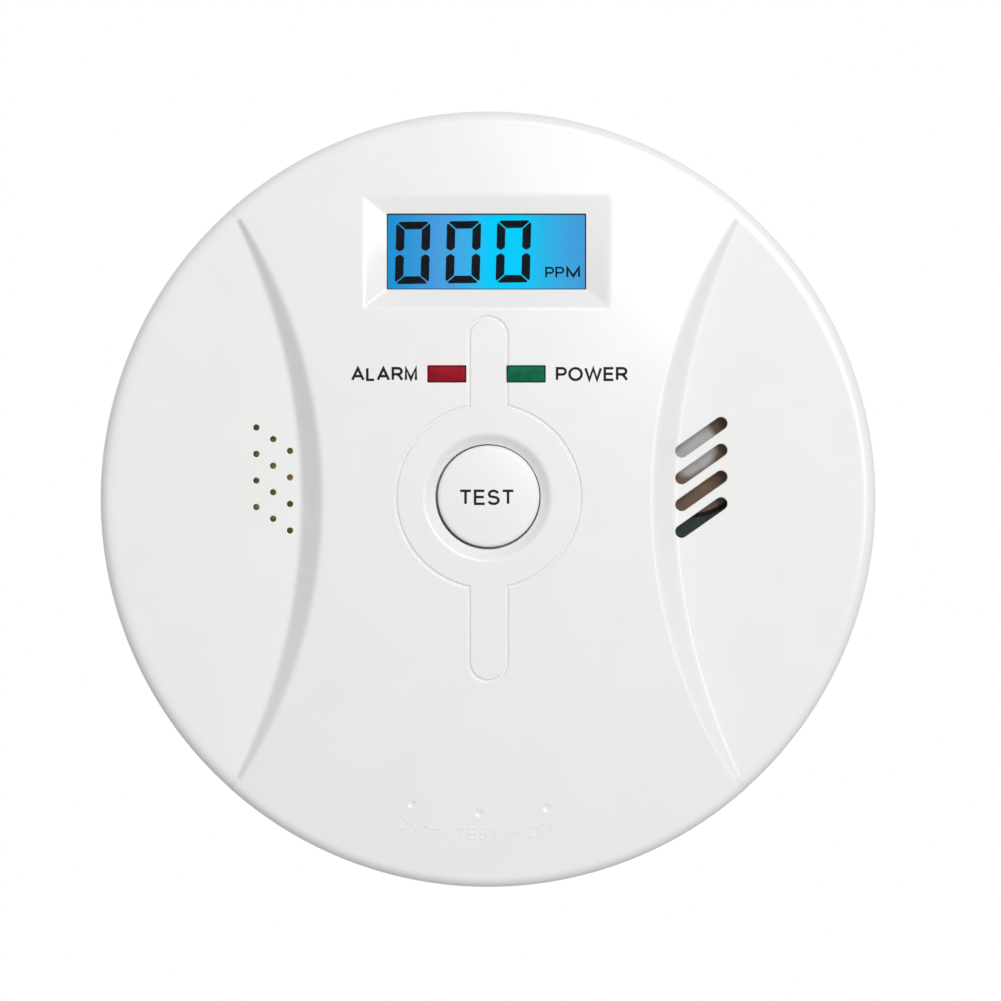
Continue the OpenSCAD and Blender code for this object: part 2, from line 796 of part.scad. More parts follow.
module sensor_header_pins() color("gold") stand() for (i = [-1.5, -0.5, 0.5, 1.5])
    translate([header_x, sensor_y + i * header_pitch, 0])
        block(0.64, 0.64, sensor_board_z - 1.2, board_front + 1.2);

// ---------------------------------------------------------------- sounder

module at_sounder() {
    translate([sound_x, sound_y, 0]) children();
}

plate_top = ring_foot - tape_t;
ceramic_top = plate_top - sounder_plate_t;
ceramic_foot = ceramic_top - ceramic_t;

module sounder_tape() color("ivory") stand() at_sounder() tube_ring(ring_out, ring_in, plate_top, ring_foot);

module sounder_plate() color("goldenrod") stand() at_sounder() rod(ring_out, ceramic_top, plate_top);

module sounder_ceramic() color("white") stand() at_sounder() rod(ceramic_r, ceramic_foot, ceramic_top);

sounder_wire_r = 0.35;

module sounder_lead_red() color("red") stand() wire(smooth_path([[-24, 1, ceramic_foot - 0.36],
    [-22, 0, 28.85], [-18, -1, 28.85], [-16, -4, 29], [-17, -7, 29.2], [-17, -10, 28.8]], 4), sounder_wire_r);

module sounder_lead_black() color("dimgray") stand() wire(smooth_path([[-26, -6.6, ceramic_top - 0.36],
    [-24, -8, 29], [-22, -10, 29.2], [-21, -13, 29.2], [-19, -14, 28.9]], 4), sounder_wire_r);

// ---------------------------------------------------------------- batteries

// Places a piece drawn along +y; cells 0 and 2 have their button end up and cell 1 has it down
module at_cell(i) {
    translate([bay_x + (i - 1) * cell_pitch, 0, cell_z]) rotate([0, 0, i == 1 ? 180 : 0]) children();
}

cell_tip = bay_l / 2 - contact_t - 0.1;
cell_foot = cell_tip - cell_l;
sleeve_foot = cell_foot + cap_t;
sleeve_top = cell_tip - nub_l - cap_t;

module along_y(r, y0, y1) {
    translate([0, y0, 0]) rotate([-90, 0, 0]) cylinder(r = r, h = y1 - y0);
}

module battery(i) {
    stand() at_cell(i) along_y(cell_r, sleeve_foot, sleeve_top);
}

module battery_1() color("orange") battery(0);

module battery_2() color("orange") battery(1);

module battery_3() color("orange") battery(2);

module battery_terminals() color("silver") stand() for (i = [0 : 2]) at_cell(i) {
    along_y(cell_r - 0.3, cell_foot, sleeve_foot);
    along_y(cell_r - 0.6, sleeve_top, sleeve_top + cap_t);
    along_y(nub_r, sleeve_top + cap_t, cell_tip);
}

module battery_springs() color("silver") stand() for (i = [0 : 2]) at_cell(i) {
    start = -bay_l / 2 + contact_t + spring_wire + 0.05;
    travel = cell_foot - spring_wire - 0.05 - start;
    steps = 12 * spring_turns;
    wire([for (k = [0 : steps]) let (s = k / steps, a = 360 * spring_turns * s, r = 4.4 - 2.2 * s)
        [r * cos(a), start + travel * s, r * sin(a)]], spring_wire, 6);
}

module contact_plate(x0, x1, up) {
    half_h = 5.4;
    y = up * (bay_l / 2 - contact_t / 2);
    translate([x0, y - contact_t / 2, cell_z - half_h]) cube([x1 - x0, contact_t, 2 * half_h]);
}

// A terminal's solder tab, out through the end wall of the battery box
module contact_tab(up) {
    reach = bay_wall + 3.4;
    translate([up * cell_pitch - 1.5, up * (bay_l / 2 - contact_t / 2 + reach / 2) - reach / 2, 18.7])
        cube([3, reach, contact_t]);
}

module battery_contacts() color("silver") stand() translate([bay_x, 0, 0]) {
    half_w = 5;
    contact_plate(-cell_pitch - half_w, half_w, 1);
    contact_plate(-half_w, cell_pitch + half_w, -1);
    for (up = [-1, 1]) {
        contact_plate(up * cell_pitch - half_w, up * cell_pitch + half_w, up);
        contact_tab(up);
    }
}

battery_wire_r = 0.65;

module battery_lead_red() color("red") stand() wire(smooth_path([[12.5, 33, 19.9],
    [13.5, 35.5, 20.4], [17, 36.5, 19.6], [20.5, 36, 20.6], [21.5, 35.2, 23.2], [20, 35, 25.2], [20, 35, 29]], 4),
    battery_wire_r);

module battery_lead_black() color("dimgray") stand() wire(smooth_path([[-17.5, -33, 19.9],
    [-16.5, -35.5, 20.4], [-13, -37.5, 19.8], [-9.5, -37.5, 21], [-7.4, -36, 23], [-8, -34, 25.2], [-8, -34, 29]],
    4), battery_wire_r);

// ---------------------------------------------------------------- what is drawn

mounting_bracket();
rear_housing();
front_housing();
housing_screws();
test_button();
tact_switch_body();
tact_switch_cover();
tact_switch_plunger();
tact_switch_pins();
lcd_front_polariser();
lcd_front_glass();
lcd_segments();
lcd_seal();
lcd_rear_glass();
lcd_rear_polariser();
lcd_light_guide();
lcd_backlight_leds();
lcd_frame();
lcd_pins();
alarm_led();
power_led();
led_leads();
main_pcb();
pcb_screws();
microcontroller();
amplifier_chip();
chip_leads();
quartz_crystal();
capacitor_cans();
inductor_core();
inductor_winding();
transistors();
chip_resistors();
chip_capacitors();
co_sensor_can();
co_sensor_filter();
co_sensor_cell();
co_sensor_base();
co_sensor_pins();
sensor_board();
sensor_header();
sensor_header_pins();
sounder_tape();
sounder_plate();
sounder_ceramic();
sounder_lead_red();
sounder_lead_black();
battery_1();
battery_2();
battery_3();
battery_terminals();
battery_springs();
battery_contacts();
battery_lead_red();
battery_lead_black();
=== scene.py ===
"""The looks of a round carbon monoxide alarm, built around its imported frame.

Shapes are worked out in the design's own axes, in millimetres: x to the right, y up the face and z out from
the wall. world() turns them into the frame's metres, where the face looks along -Y and +Z is up.
"""

import json
import math

import bpy
import numpy as np
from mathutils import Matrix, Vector
from mathutils.geometry import delaunay_2d_cdt

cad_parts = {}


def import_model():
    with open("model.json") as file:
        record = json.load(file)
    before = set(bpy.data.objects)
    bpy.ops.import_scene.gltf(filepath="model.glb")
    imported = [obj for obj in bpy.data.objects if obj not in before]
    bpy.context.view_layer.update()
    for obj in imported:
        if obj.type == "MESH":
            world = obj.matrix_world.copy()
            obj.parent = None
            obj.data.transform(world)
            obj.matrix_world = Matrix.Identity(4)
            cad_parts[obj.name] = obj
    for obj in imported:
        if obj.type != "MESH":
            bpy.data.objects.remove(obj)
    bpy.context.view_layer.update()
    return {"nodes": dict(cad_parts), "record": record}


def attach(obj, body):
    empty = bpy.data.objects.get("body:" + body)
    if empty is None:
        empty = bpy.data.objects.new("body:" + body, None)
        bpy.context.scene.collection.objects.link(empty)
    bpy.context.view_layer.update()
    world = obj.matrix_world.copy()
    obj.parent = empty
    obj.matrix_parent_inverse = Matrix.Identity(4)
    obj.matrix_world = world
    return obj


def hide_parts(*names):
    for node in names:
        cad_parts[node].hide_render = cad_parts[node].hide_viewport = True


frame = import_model()
MM = 0.001

# Levels and radii of the cover
COVER_R = 50.0
DOME_TOP = 38.0
DOME_BALL = 447.0
PANEL_Z = 34.8
WALL = 2.0
COVER_FOOT = 14.2
COVER_IN_R = 48.0
SIDE_LEVELS = (28.0, 21.0, COVER_FOOT + 0.35)
FOOT_EDGE = ((COVER_R - 0.1, COVER_FOOT + 0.1), (COVER_R - 0.35, COVER_FOOT), (COVER_IN_R, COVER_FOOT))
EDGE_SOFT = 0.7

# The rim is rounded in two arcs: a wide one down to RIM_BREAK, then a tight one down to the cover's side
TOP_R = 48.1
RIM_BREAK = math.radians(12)
RIM_R1 = 3.5
RIM_R2 = (COVER_R - TOP_R - RIM_R1 * math.sin(RIM_BREAK)) / (1 - math.sin(RIM_BREAK))
RIM_TILTS = np.concatenate([np.linspace(0.33, 1, 3) * RIM_BREAK, np.radians(np.linspace(21, 90, 9))])

# Walls of the two side panels: arcs round (+-CUT_X, 0)
CUT_R = 81.0
CUT_X = 105.0
CUT_TAN = math.tan(math.radians(45.5))

# Display pocket
WINDOW_X = -0.2
WINDOW_Y = 31.9
WINDOW_HALF_W = 12.85
WINDOW_HALF_H = 4.9
WINDOW_CORNER = 0.12
BEVEL_SIDE = 2.85
BEVEL_TOP = 2.15
BEVEL_BOTTOM = 2.35
POCKET_FLOOR = 35.7
LIP_BACK = 34.4
GLASS_BAY = (15.2, 7.4)

# Button and its dish
BUTTON_Y = 0.3
BUTTON_R = 6.53
BUTTON_TOP = 37.65
BUTTON_HOLE_R = 6.75
DISH_FOOT = 36.65
DISH_SLOPE = 0.98
DISH_SOFT = 0.55
GUIDE_R = 8.2
GUIDE_FOOT = 34.0

# Outline groove, lamps, holes and dots
KEY_R = 11.87
KEY_BAR = 2.45
KEY_REACH = 23.4
GROOVE_HALF = 0.3
GROOVE_DEPTH = 0.22
LAMP_X = (-5.3, 4.9)
LAMP_Y = 16.1
LAMP_HALF_W = 2.5
LAMP_HALF_H = 1.1
LAMP_CORNER = 0.15
SOUND_AT = (-27.7, 2.6)
SOUND_PITCH = (2.17, 3.42)
SOUND_SKEW = 1.51
SOUND_R = 0.4
GAS_AT = (27.5, 2.8)
GAS_PITCH = 3.45
GAS_TILT = math.radians(35.2)
GAS_HALF_L = 3.1
GAS_R = 0.825
HOLE_EDGE = 0.12
DOT_RING = 40.4
DOT_ANGLES = (255.95, 268.35, 280.75)
DOT_BALL = 1.1
DOT_SUNK = 0.15
DOT_ROWS = (0.15, 0.3, 0.45, 0.58, 0.68, 0.75, 0.82, 0.92, 1.1)


# ---- helpers


def world(points):
    """Design millimetres to the frame's metres."""
    p = np.asarray(points, float).reshape(-1, 3)
    return np.column_stack([p[:, 0], -p[:, 2], p[:, 1]]) * MM


def smooth_min(a, b, k):
    """The lower of two heights, with the corner between them rounded."""
    h = np.clip(k - np.abs(a - b), 0, None) / k
    return np.minimum(a, b) - h**3 * k / 6


def smooth_max(a, b, k):
    return -smooth_min(-a, -b, k)


def build_mesh(name, points, faces, sharp=35):
    """A smooth-shaded mesh from design millimetres, with edges over the given angle kept sharp."""
    mesh = bpy.data.meshes.new(name)
    mesh.from_pydata(world(points).tolist(), [], faces)
    mesh.validate()
    mesh.shade_smooth()
    mesh.set_sharp_from_angle(angle=math.radians(sharp))
    mesh.update()
    return mesh


def in_scene(name, data):
    """A new object with the given mesh, light or camera."""
    made = bpy.data.objects.new(name, data)
    bpy.context.scene.collection.objects.link(made)
    return made


def add_piece(name, mesh, body, material, replaces=()):
    piece = in_scene(name, mesh)
    mesh.materials.clear()
    mesh.materials.append(material)
    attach(piece, body)
    if replaces:
        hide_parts(*replaces)


def circle_loop(cx, cy, r, count):
    a = np.arange(count) * 2 * math.pi / count
    return np.column_stack([cx + r * np.cos(a), cy + r * np.sin(a)])


def box_loop(cx, cy, half_w, half_h, step, corner=0.0):
    """A rectangle's outline, counter-clockwise, with corners rounded to the given radius."""
    loop = []
    for k, (sx, sy) in enumerate([(1, -1), (1, 1), (-1, 1), (-1, -1)]):
        centre = np.array([sx * (half_w - corner), sy * (half_h - corner)])
        arc = [math.radians(-90 + 90 * k + 90 * i / 4) for i in range(5)] if corner else [0]
        loop += [centre + corner * np.array([math.cos(a), math.sin(a)]) for a in arc]
    loop = np.array(loop)
    out = []
    for a, b in zip(loop, np.roll(loop, -1, axis=0)):
        pieces = max(1, round(np.linalg.norm(b - a) / step))
        out += [a + (b - a) * i / pieces for i in range(pieces)]
    return np.array(out) + (cx, cy)


def slot_loop(cx, cy, half_l, r, angle, arc_count, step):
    """A round-ended slot's outline; half_l is from its middle to the centre of an end."""
    along = np.array([math.cos(angle), math.sin(angle)])
    out = []
    for side in (1, -1):
        start = angle - math.pi / 2 + (0 if side > 0 else math.pi)
        a = start + np.arange(arc_count) * math.pi / arc_count
        out.append(side * half_l * along + r * np.column_stack([np.cos(a), np.sin(a)]))
        if half_l > 0:
            turn = start + math.pi
            first = side * half_l * along + r * np.array([math.cos(turn), math.sin(turn)])
            pieces = max(1, round(2 * half_l / step))
            t = np.arange(pieces)[:, None] / pieces
            out.append(first - side * 2 * half_l * along * t)
    return np.vstack(out) + (cx, cy)


def lathe(profile, count, centre=(0.0, 0.0)):
    """Points and faces of a profile of (r, z) turned about z; it ends on the axis or where it starts."""
    points, rings = [], []
    for r, z in profile:
        if rings and (r, z) == profile[0]:
            rings.append(rings[0])
            continue
        if r < 1e-6:
            rings.append([len(points)])
            points.append((centre[0], centre[1], z))
            continue
        rings.append(list(range(len(points), len(points) + count)))
        points += [(x, y, z) for x, y in circle_loop(*centre, r, count)]
    faces = []
    for a, b in zip(rings, rings[1:]):
        for i in range(count):
            j = (i + 1) % count
            face = [a[i % len(a)], b[i % len(b)], b[j % len(b)], a[j % len(a)]]
            faces.append(list(dict.fromkeys(face)))
    return points, faces


def extruded(outlines, z0, z1):
    """Points and faces of convex counter-clockwise outlines of (x, y), made solid from z0 to z1."""
    points, faces = [], []
    for outline in outlines:
        first = len(points)
        count = len(outline)
        points += [(x, y, z1) for x, y in outline] + [(x, y, z0) for x, y in outline]
        faces.append([first + i for i in range(count)])
        faces.append([first + count + i for i in reversed(range(count))])
        for i in range(count):
            j = (i + 1) % count
            faces.append([first + j, first + i, first + count + i, first + count + j])
    return points, faces


# ---- the face as a height over (x, y)


def dome_height(x, y):
    return DOME_TOP - DOME_BALL + np.sqrt(DOME_BALL**2 - x * x - y * y)


def wall_distance(x, y):
    """Distance from the middle of the nearer side panel's arc."""
    return np.hypot(np.abs(x) - CUT_X, y)


def base_height(x, y):
    """Dome, panel walls and panels. The soft edges get finer where the wall runs out at the rim."""
    dome = dome_height(x, y)
    wall = PANEL_Z + (wall_distance(x, y) - CUT_R) * CUT_TAN
    soft = np.clip(0.5 * (dome - PANEL_Z), 0.02, EDGE_SOFT)
    return smooth_max(smooth_min(dome, wall, soft), PANEL_Z, soft)


def pocket_height(x, y, floor, grow=0.0):
    """The display pocket: flat bevels from the window up to a rectangle on the dome."""
    half_w = WINDOW_HALF_W + grow
    half_h = WINDOW_HALF_H + grow
    dx = x - WINDOW_X
    dy = y - WINDOW_Y
    bevel = np.where(dy > 0, BEVEL_TOP, BEVEL_BOTTOM)
    t = smooth_max((np.abs(dx) - half_w) / BEVEL_SIDE, (np.abs(dy) - half_h) / bevel, 0.025)
    inner_t = np.clip(t, 0, None)
    rim_x = WINDOW_X + dx * (half_w + BEVEL_SIDE) / (half_w + BEVEL_SIDE * inner_t)
    rim_y = WINDOW_Y + dy * (half_h + bevel) / (half_h + bevel * inner_t)
    return floor + t * (dome_height(rim_x, rim_y) - WALL * (grow > 0) - floor)


def box_distance(x, y, cx, cy, half_w, half_h, corner=0.0):
    dx = np.abs(x - cx) - half_w + corner
    dy = np.abs(y - cy) - half_h + corner
    return np.hypot(np.clip(dx, 0, None), np.clip(dy, 0, None)) + np.minimum(np.maximum(dx, dy), 0) - corner


def window_distance(x, y, grow=0.0):
    return box_distance(x, y, WINDOW_X, WINDOW_Y, WINDOW_HALF_W + grow, WINDOW_HALF_H + grow, WINDOW_CORNER)


def slot_distance(x, y, cx, cy, half_l, r, angle):
    along = (x - cx) * math.cos(angle) + (y - cy) * math.sin(angle)
    across = (y - cy) * math.cos(angle) - (x - cx) * math.sin(angle)
    return np.hypot(np.clip(np.abs(along) - half_l, 0, None), across) - r


def keyway_distance(x, y):
    ring = np.hypot(x, y - BUTTON_Y) - KEY_R
    bar = slot_distance(x, y, 0, 0, KEY_REACH - KEY_BAR, KEY_BAR, math.pi / 2)
    return np.minimum(ring, bar)


SOUND_HOLES = [
    (SOUND_AT[0] + c * SOUND_PITCH[0], SOUND_AT[1] + r * SOUND_PITCH[1] - c * SOUND_SKEW)
    for c in (-1, 0, 1)
    for r in (-1.5, -0.5, 0.5, 1.5)
]
GAS_SLOTS = [(GAS_AT[0], GAS_AT[1] + GAS_PITCH * (1.5 - i)) for i in range(4)]
DOTS = [(DOT_RING * math.cos(math.radians(a)), DOT_RING * math.sin(math.radians(a))) for a in DOT_ANGLES]


def hole_distance(x, y, button_r=BUTTON_HOLE_R):
    """Distance outside the nearest opening, the window apart."""
    parts = [np.hypot(x - cx, y - cy) - SOUND_R for cx, cy in SOUND_HOLES]
    parts += [slot_distance(x, y, cx, cy, GAS_HALF_L, GAS_R, GAS_TILT) for cx, cy in GAS_SLOTS]
    parts += [box_distance(x, y, cx, LAMP_Y, LAMP_HALF_W, LAMP_HALF_H, LAMP_CORNER) for cx in LAMP_X]
    parts.append(np.hypot(x, y - BUTTON_Y) - button_r)
    return np.minimum.reduce(parts)


def face_height(x, y):
    h = base_height(x, y)
    h = smooth_min(h, pocket_height(x, y, POCKET_FLOOR), 0.22)
    dish = DISH_FOOT + (np.hypot(x, y - BUTTON_Y) - BUTTON_HOLE_R) * DISH_SLOPE
    h = smooth_min(h, dish, DISH_SOFT)
    groove = np.clip(1 - (keyway_distance(x, y) / GROOVE_HALF) ** 2, 0, None) ** 2
    h = h - GROOVE_DEPTH * groove
    for cx, cy in DOTS:
        rho2 = (x - cx) ** 2 + (y - cy) ** 2
        ball = DOT_BALL - DOT_SUNK - np.sqrt(np.clip(DOT_BALL**2 - rho2, 0, None))
        h = h + smooth_min(ball, 0, 0.08)
    inset = np.clip(HOLE_EDGE - np.clip(hole_distance(x, y), 0, None), 0, None)
    return h - (HOLE_EDGE - np.sqrt(np.clip(HOLE_EDGE**2 - inset**2, 0, None)))


def inner_height(x, y):
    """The cover's inside: a wall's thickness under the dome and panels, thinner round the window."""
    skin = base_height(x, y) - WALL
    skin = np.minimum(skin, np.maximum(pocket_height(x, y, LIP_BACK, WALL), LIP_BACK))
    return np.where(box_distance(x, y, 0, WINDOW_Y, *GLASS_BAY) < 0, np.maximum(skin, LIP_BACK), skin)


def face_normals(x, y):
    e = 0.004
    nx = -(face_height(x + e, y) - face_height(x - e, y)) / (2 * e)
    ny = -(face_height(x, y + e) - face_height(x, y - e)) / (2 * e)
    n = np.column_stack([nx, ny, np.ones_like(nx)])
    return n / np.linalg.norm(n, axis=1)[:, None]


# ---- the cover's mesh

# Points round the button's hole and the rim, the rim's angle at a side panel's tip, and the steps of the fill
BUTTON_COUNT = 160
RIM_EVEN = 480
TIP_ANGLE = math.radians(48.7)
FACE_FILL = 1.1
INSIDE_FILL = 1.2


def rim_angles():
    """Directions round the rim, closer together where the walls of the side panels run out at it."""
    even = np.arange(RIM_EVEN) * 2 * math.pi / RIM_EVEN
    tips = [a + k for a in (TIP_ANGLE, math.pi - TIP_ANGLE) for k in np.linspace(-0.035, 0.035, 29)]
    tips = np.concatenate([tips, np.negative(tips)]) % (2 * math.pi)
    spare = np.abs((even[:, None] - tips + math.pi) % (2 * math.pi) - math.pi).min(axis=1) > 0.002
    return np.sort(np.concatenate([even[spare], tips]))


RIM_ANGLES = rim_angles()
RIM_COUNT = len(RIM_ANGLES)


def rim_loop(r):
    return r * np.column_stack([np.cos(RIM_ANGLES), np.sin(RIM_ANGLES)])


def opening_loops():
    """The outlines of the openings in the face: window, lamps, button, sound holes, gas slots."""
    loops = [box_loop(WINDOW_X, WINDOW_Y, WINDOW_HALF_W, WINDOW_HALF_H, 0.4, WINDOW_CORNER)]
    loops += [box_loop(cx, LAMP_Y, LAMP_HALF_W, LAMP_HALF_H, 0.2, LAMP_CORNER) for cx in LAMP_X]
    loops += [circle_loop(cx, cy, SOUND_R, 24) for cx, cy in SOUND_HOLES]
    loops += [slot_loop(cx, cy, GAS_HALF_L, GAS_R, GAS_TILT, 16, 0.3) for cx, cy in GAS_SLOTS]
    return loops


def pocket_ring(t, step):
    low = WINDOW_Y - WINDOW_HALF_H - BEVEL_BOTTOM * t
    high = WINDOW_Y + WINDOW_HALF_H + BEVEL_TOP * t
    return box_loop(WINDOW_X, (low + high) / 2, WINDOW_HALF_W + BEVEL_SIDE * t, (high - low) / 2, step)


def feature_rows():
    """Rows of points that follow every edge of the face, as (points, least gap) pairs."""
    rows = []
    for t in (0.03, 0.08, 0.3, 0.5, 0.7, 0.85, 0.92, 0.96, 1.0, 1.04, 1.08, 1.15, 1.3):
        rows.append((pocket_ring(t, 0.3), 0.07))
    for g in (0.02, 0.06, 0.12, 0.22, 0.4):
        rows += [(circle_loop(cx, cy, SOUND_R + g, 24), 0.02) for cx, cy in SOUND_HOLES]
        rows += [(slot_loop(cx, cy, GAS_HALF_L, GAS_R + g, GAS_TILT, 16, 0.3), 0.02) for cx, cy in GAS_SLOTS]
        rows += [
            (box_loop(cx, LAMP_Y, LAMP_HALF_W + g, LAMP_HALF_H + g, 0.2, LAMP_CORNER + g), 0.02)
            for cx in LAMP_X
        ]
    for g in (0.02, 0.06, 0.12, 0.3, 0.5, 0.7, 0.85, 1.0, 1.15, 1.3, 1.45, 1.6, 1.8, 2.1):
        rows.append((circle_loop(0, BUTTON_Y, BUTTON_HOLE_R + g, BUTTON_COUNT), 0.05))
    for g in np.linspace(-1.1, 1.1, 9) * GROOVE_HALF:
        ring = circle_loop(0, BUTTON_Y, KEY_R + g, 240)
        bar = slot_loop(0, 0, KEY_REACH - KEY_BAR, KEY_BAR + g, math.pi / 2, 24, 0.35)
        both = np.vstack([ring, bar])
        rows.append((both[np.abs(keyway_distance(*both.T) - g) < 0.003], 0.05))
    angle = np.linspace(-0.72, 0.72, 240)
    for side in (-1, 1):
        radius = np.full_like(angle, CUT_R)
        for _ in range(6):
            x = side * (CUT_X - radius * np.cos(angle))
            radius = CUT_R + (dome_height(x, radius * np.sin(angle)) - PANEL_Z) / CUT_TAN
        for start in (CUT_R, radius):
            for g in (-1.0, -0.7, -0.5, -0.35, -0.2, -0.1, 0.0, 0.1, 0.2, 0.35, 0.5, 0.7, 1.0):
                d = start + g
                rows.append((np.column_stack([side * (CUT_X - d * np.cos(angle)), d * np.sin(angle)]), 0.09))
    rows += [(circle_loop(cx, cy, r, 32), 0.05) for cx, cy in DOTS for r in DOT_ROWS]
    for g in (0.3, 0.7, 1.2):
        rows.append((rim_loop(TOP_R - g), 0.2))
    return rows


def hex_fill(step, r):
    count = int(r / step) + 2
    i, j = np.meshgrid(np.arange(-count, count + 1), np.arange(-count * 2, count * 2 + 1))
    x = (i + 0.5 * (j % 2)) * step
    y = j * step * math.sqrt(3) / 2
    p = np.column_stack([x.ravel(), y.ravel()])
    return p[np.hypot(*p.T) < r - step * 0.4]


class Spread:
    """Keeps points that are no nearer to each other than a given gap."""

    def __init__(self, cell):
        self.cell = cell
        self.grid = {}
        self.points = []

    def add(self, points, gap):
        reach = int(gap / self.cell) + 1
        for x, y in points:
            gx, gy = int(x // self.cell), int(y // self.cell)
            near = (
                q
                for i in range(gx - reach, gx + reach + 1)
                for j in range(gy - reach, gy + reach + 1)
                for q in self.grid.get((i, j), ())
            )
            if all((q[0] - x) ** 2 + (q[1] - y) ** 2 >= gap * gap for q in near):
                self.grid.setdefault((gx, gy), []).append((x, y))
                self.points.append((x, y))

    def force(self, points):
        """Adds all the points and gives the numbers they have."""
        first = len(self.points)
        for x, y in points:
            self.grid.setdefault((int(x // self.cell), int(y // self.cell)), []).append((x, y))
            self.points.append((x, y))
        return list(range(first, len(self.points)))


def ring_edges(ids):
    return list(zip(ids, ids[1:] + ids[:1]))


# A triangle's middle is in an opening when it is deeper than this. The chords of a round outline are less
INSIDE = 0.002


def in_opening(x, y, button_r):
    return np.minimum(hole_distance(x, y, button_r), window_distance(x, y)) < -INSIDE


def triangulate(spread, edges, button_r):
    """Triangles of the points inside the outer ring, less those in an opening."""
    points = [Vector(p) for p in spread.points]
    out, _, faces, _, _, _ = delaunay_2d_cdt(points, edges, [], 0, 1e-6)
    xy = np.array(out)
    if len(xy) != len(points):
        raise ValueError("the triangulation changed the points")
    tri = np.array([f[:] for f in faces])
    middle = xy[tri].mean(axis=1)
    return xy, tri[~in_opening(middle[:, 0], middle[:, 1], button_r)]


def face_sheet():
    """The outer face up to the rim: points, triangles and the loops of its rim and openings."""
    spread = Spread(0.25)
    rim = spread.force(rim_loop(TOP_R))
    loops = [spread.force(loop) for loop in opening_loops()]
    button = spread.force(circle_loop(0, BUTTON_Y, BUTTON_HOLE_R, BUTTON_COUNT))
    edges = [e for ids in [rim, button] + loops for e in ring_edges(ids)]
    corners = [pocket_ring(t, 100) for t in np.linspace(0.05, 1, 24)]
    for k in range(4):
        ids = spread.force([ring[k] for ring in corners])
        edges += list(zip(ids, ids[1:]))
    for points, gap in feature_rows():
        points = points[np.hypot(*points.T) < TOP_R - 0.15]
        points = points[(hole_distance(*points.T) > 0.01) & (window_distance(*points.T, 0.03) > 0)]
        spread.add(points, gap)
    fill = hex_fill(FACE_FILL, TOP_R)
    spread.add(fill[(hole_distance(*fill.T) > 0.1) & (window_distance(*fill.T, 0.1) > 0)], 0.5)
    xy, tri = triangulate(spread, edges, BUTTON_HOLE_R)
    return xy, tri, rim, loops, button


def inner_sheet():
    """The cover's inside face, with the same openings."""
    spread = Spread(0.5)
    rim = spread.force(rim_loop(COVER_IN_R))
    loops = [spread.force(loop) for loop in opening_loops()]
    button = spread.force(circle_loop(0, BUTTON_Y, GUIDE_R, BUTTON_COUNT))
    edges = [e for ids in [rim, button] + loops for e in ring_edges(ids)]
    fill = hex_fill(INSIDE_FILL, COVER_IN_R)
    guide = np.hypot(fill[:, 0], fill[:, 1] - BUTTON_Y) - GUIDE_R
    clear = (hole_distance(*fill.T) > 0.3) & (window_distance(*fill.T, 0.2) > 0) & (guide > 0.4)
    spread.add(fill[clear], 0.4)
    xy, tri = triangulate(spread, edges, GUIDE_R)
    return xy, tri, rim, loops, button


class Skin:
    """A mesh that grows ring by ring, with a normal for each point; a zero normal stays unused."""

    def __init__(self):
        self.points = np.zeros((0, 3))
        self.normals = np.zeros((0, 3))
        self.faces = []

    def add(self, points, normals=None):
        """Adds points and gives the numbers they have."""
        first = len(self.points)
        self.points = np.vstack([self.points, points])
        self.normals = np.vstack([self.normals, np.zeros_like(points) if normals is None else normals])
        return list(range(first, len(self.points)))

    def bridge(self, a, b):
        for i in range(len(a)):
            j = (i + 1) % len(a)
            self.faces.append([a[i], b[i], b[j], a[j]])

    def grow(self, last, points, normals=None):
        """Adds a ring of points and joins it to the last one."""
        ids = self.add(points, normals)
        self.bridge(last, ids)
        return ids


def add_rim(skin, last, out):
    """The rounded rim and the cover's side, from the face's edge down."""
    edge_z = skin.points[last][:, 2]
    for theta in RIM_TILTS:
        first, second = min(theta, RIM_BREAK), max(theta, RIM_BREAK)
        reach = RIM_R1 * math.sin(first) + RIM_R2 * (math.sin(second) - math.sin(RIM_BREAK))
        drop = RIM_R1 * (1 - math.cos(first)) + RIM_R2 * (math.cos(RIM_BREAK) - math.cos(second))
        ring = np.column_stack([out * (TOP_R + reach), edge_z - drop])
        normal = np.column_stack([out * math.sin(theta), np.full(RIM_COUNT, math.cos(theta))])
        last = skin.grow(last, ring, normal)
    outward = np.column_stack([out, np.zeros(RIM_COUNT)])
    for z in SIDE_LEVELS:
        last = skin.grow(last, np.column_stack([out * COVER_R, np.full(RIM_COUNT, z)]), outward)
    return last


def add_inside(skin, foot, loops, button):
    """The cover's inside and its openings' edges, which close the skin between its foot and its face."""
    xy, tri, rim, in_loops, in_button = inner_sheet()
    ids = np.array(skin.add(np.column_stack([xy, inner_height(*xy.T)])))
    skin.faces += ids[tri[:, ::-1]].tolist()
    skin.bridge(foot, ids[rim].tolist())
    for loop, in_loop in zip(loops, in_loops):
        skin.bridge(ids[in_loop].tolist(), loop)
    level = np.full(BUTTON_COUNT, GUIDE_FOOT)
    guide = [circle_loop(0, BUTTON_Y, r, BUTTON_COUNT) for r in (BUTTON_HOLE_R, GUIDE_R)]
    low_in, low_out = [skin.add(np.column_stack([loop, level])) for loop in guide]
    skin.bridge(low_in, button)
    skin.bridge(low_out, low_in)
    skin.bridge(ids[in_button].tolist(), low_out)


def set_exact_normals(mesh, normals, count):
    """Gives a mesh's first faces, count of them, the given normals of their points."""
    corner = np.zeros(len(mesh.loops) * 3)
    mesh.corner_normals.foreach_get("vector", corner)
    corner = corner.reshape(-1, 3)
    vertex = np.zeros(len(mesh.loops), int)
    mesh.loops.foreach_get("vertex_index", vertex)
    starts = np.zeros(len(mesh.polygons), int)
    mesh.polygons.foreach_get("loop_start", starts)
    end = starts[count]
    corner[:end] = world(normals[vertex[:end]]) / MM
    mesh.normals_split_custom_set(corner.tolist())


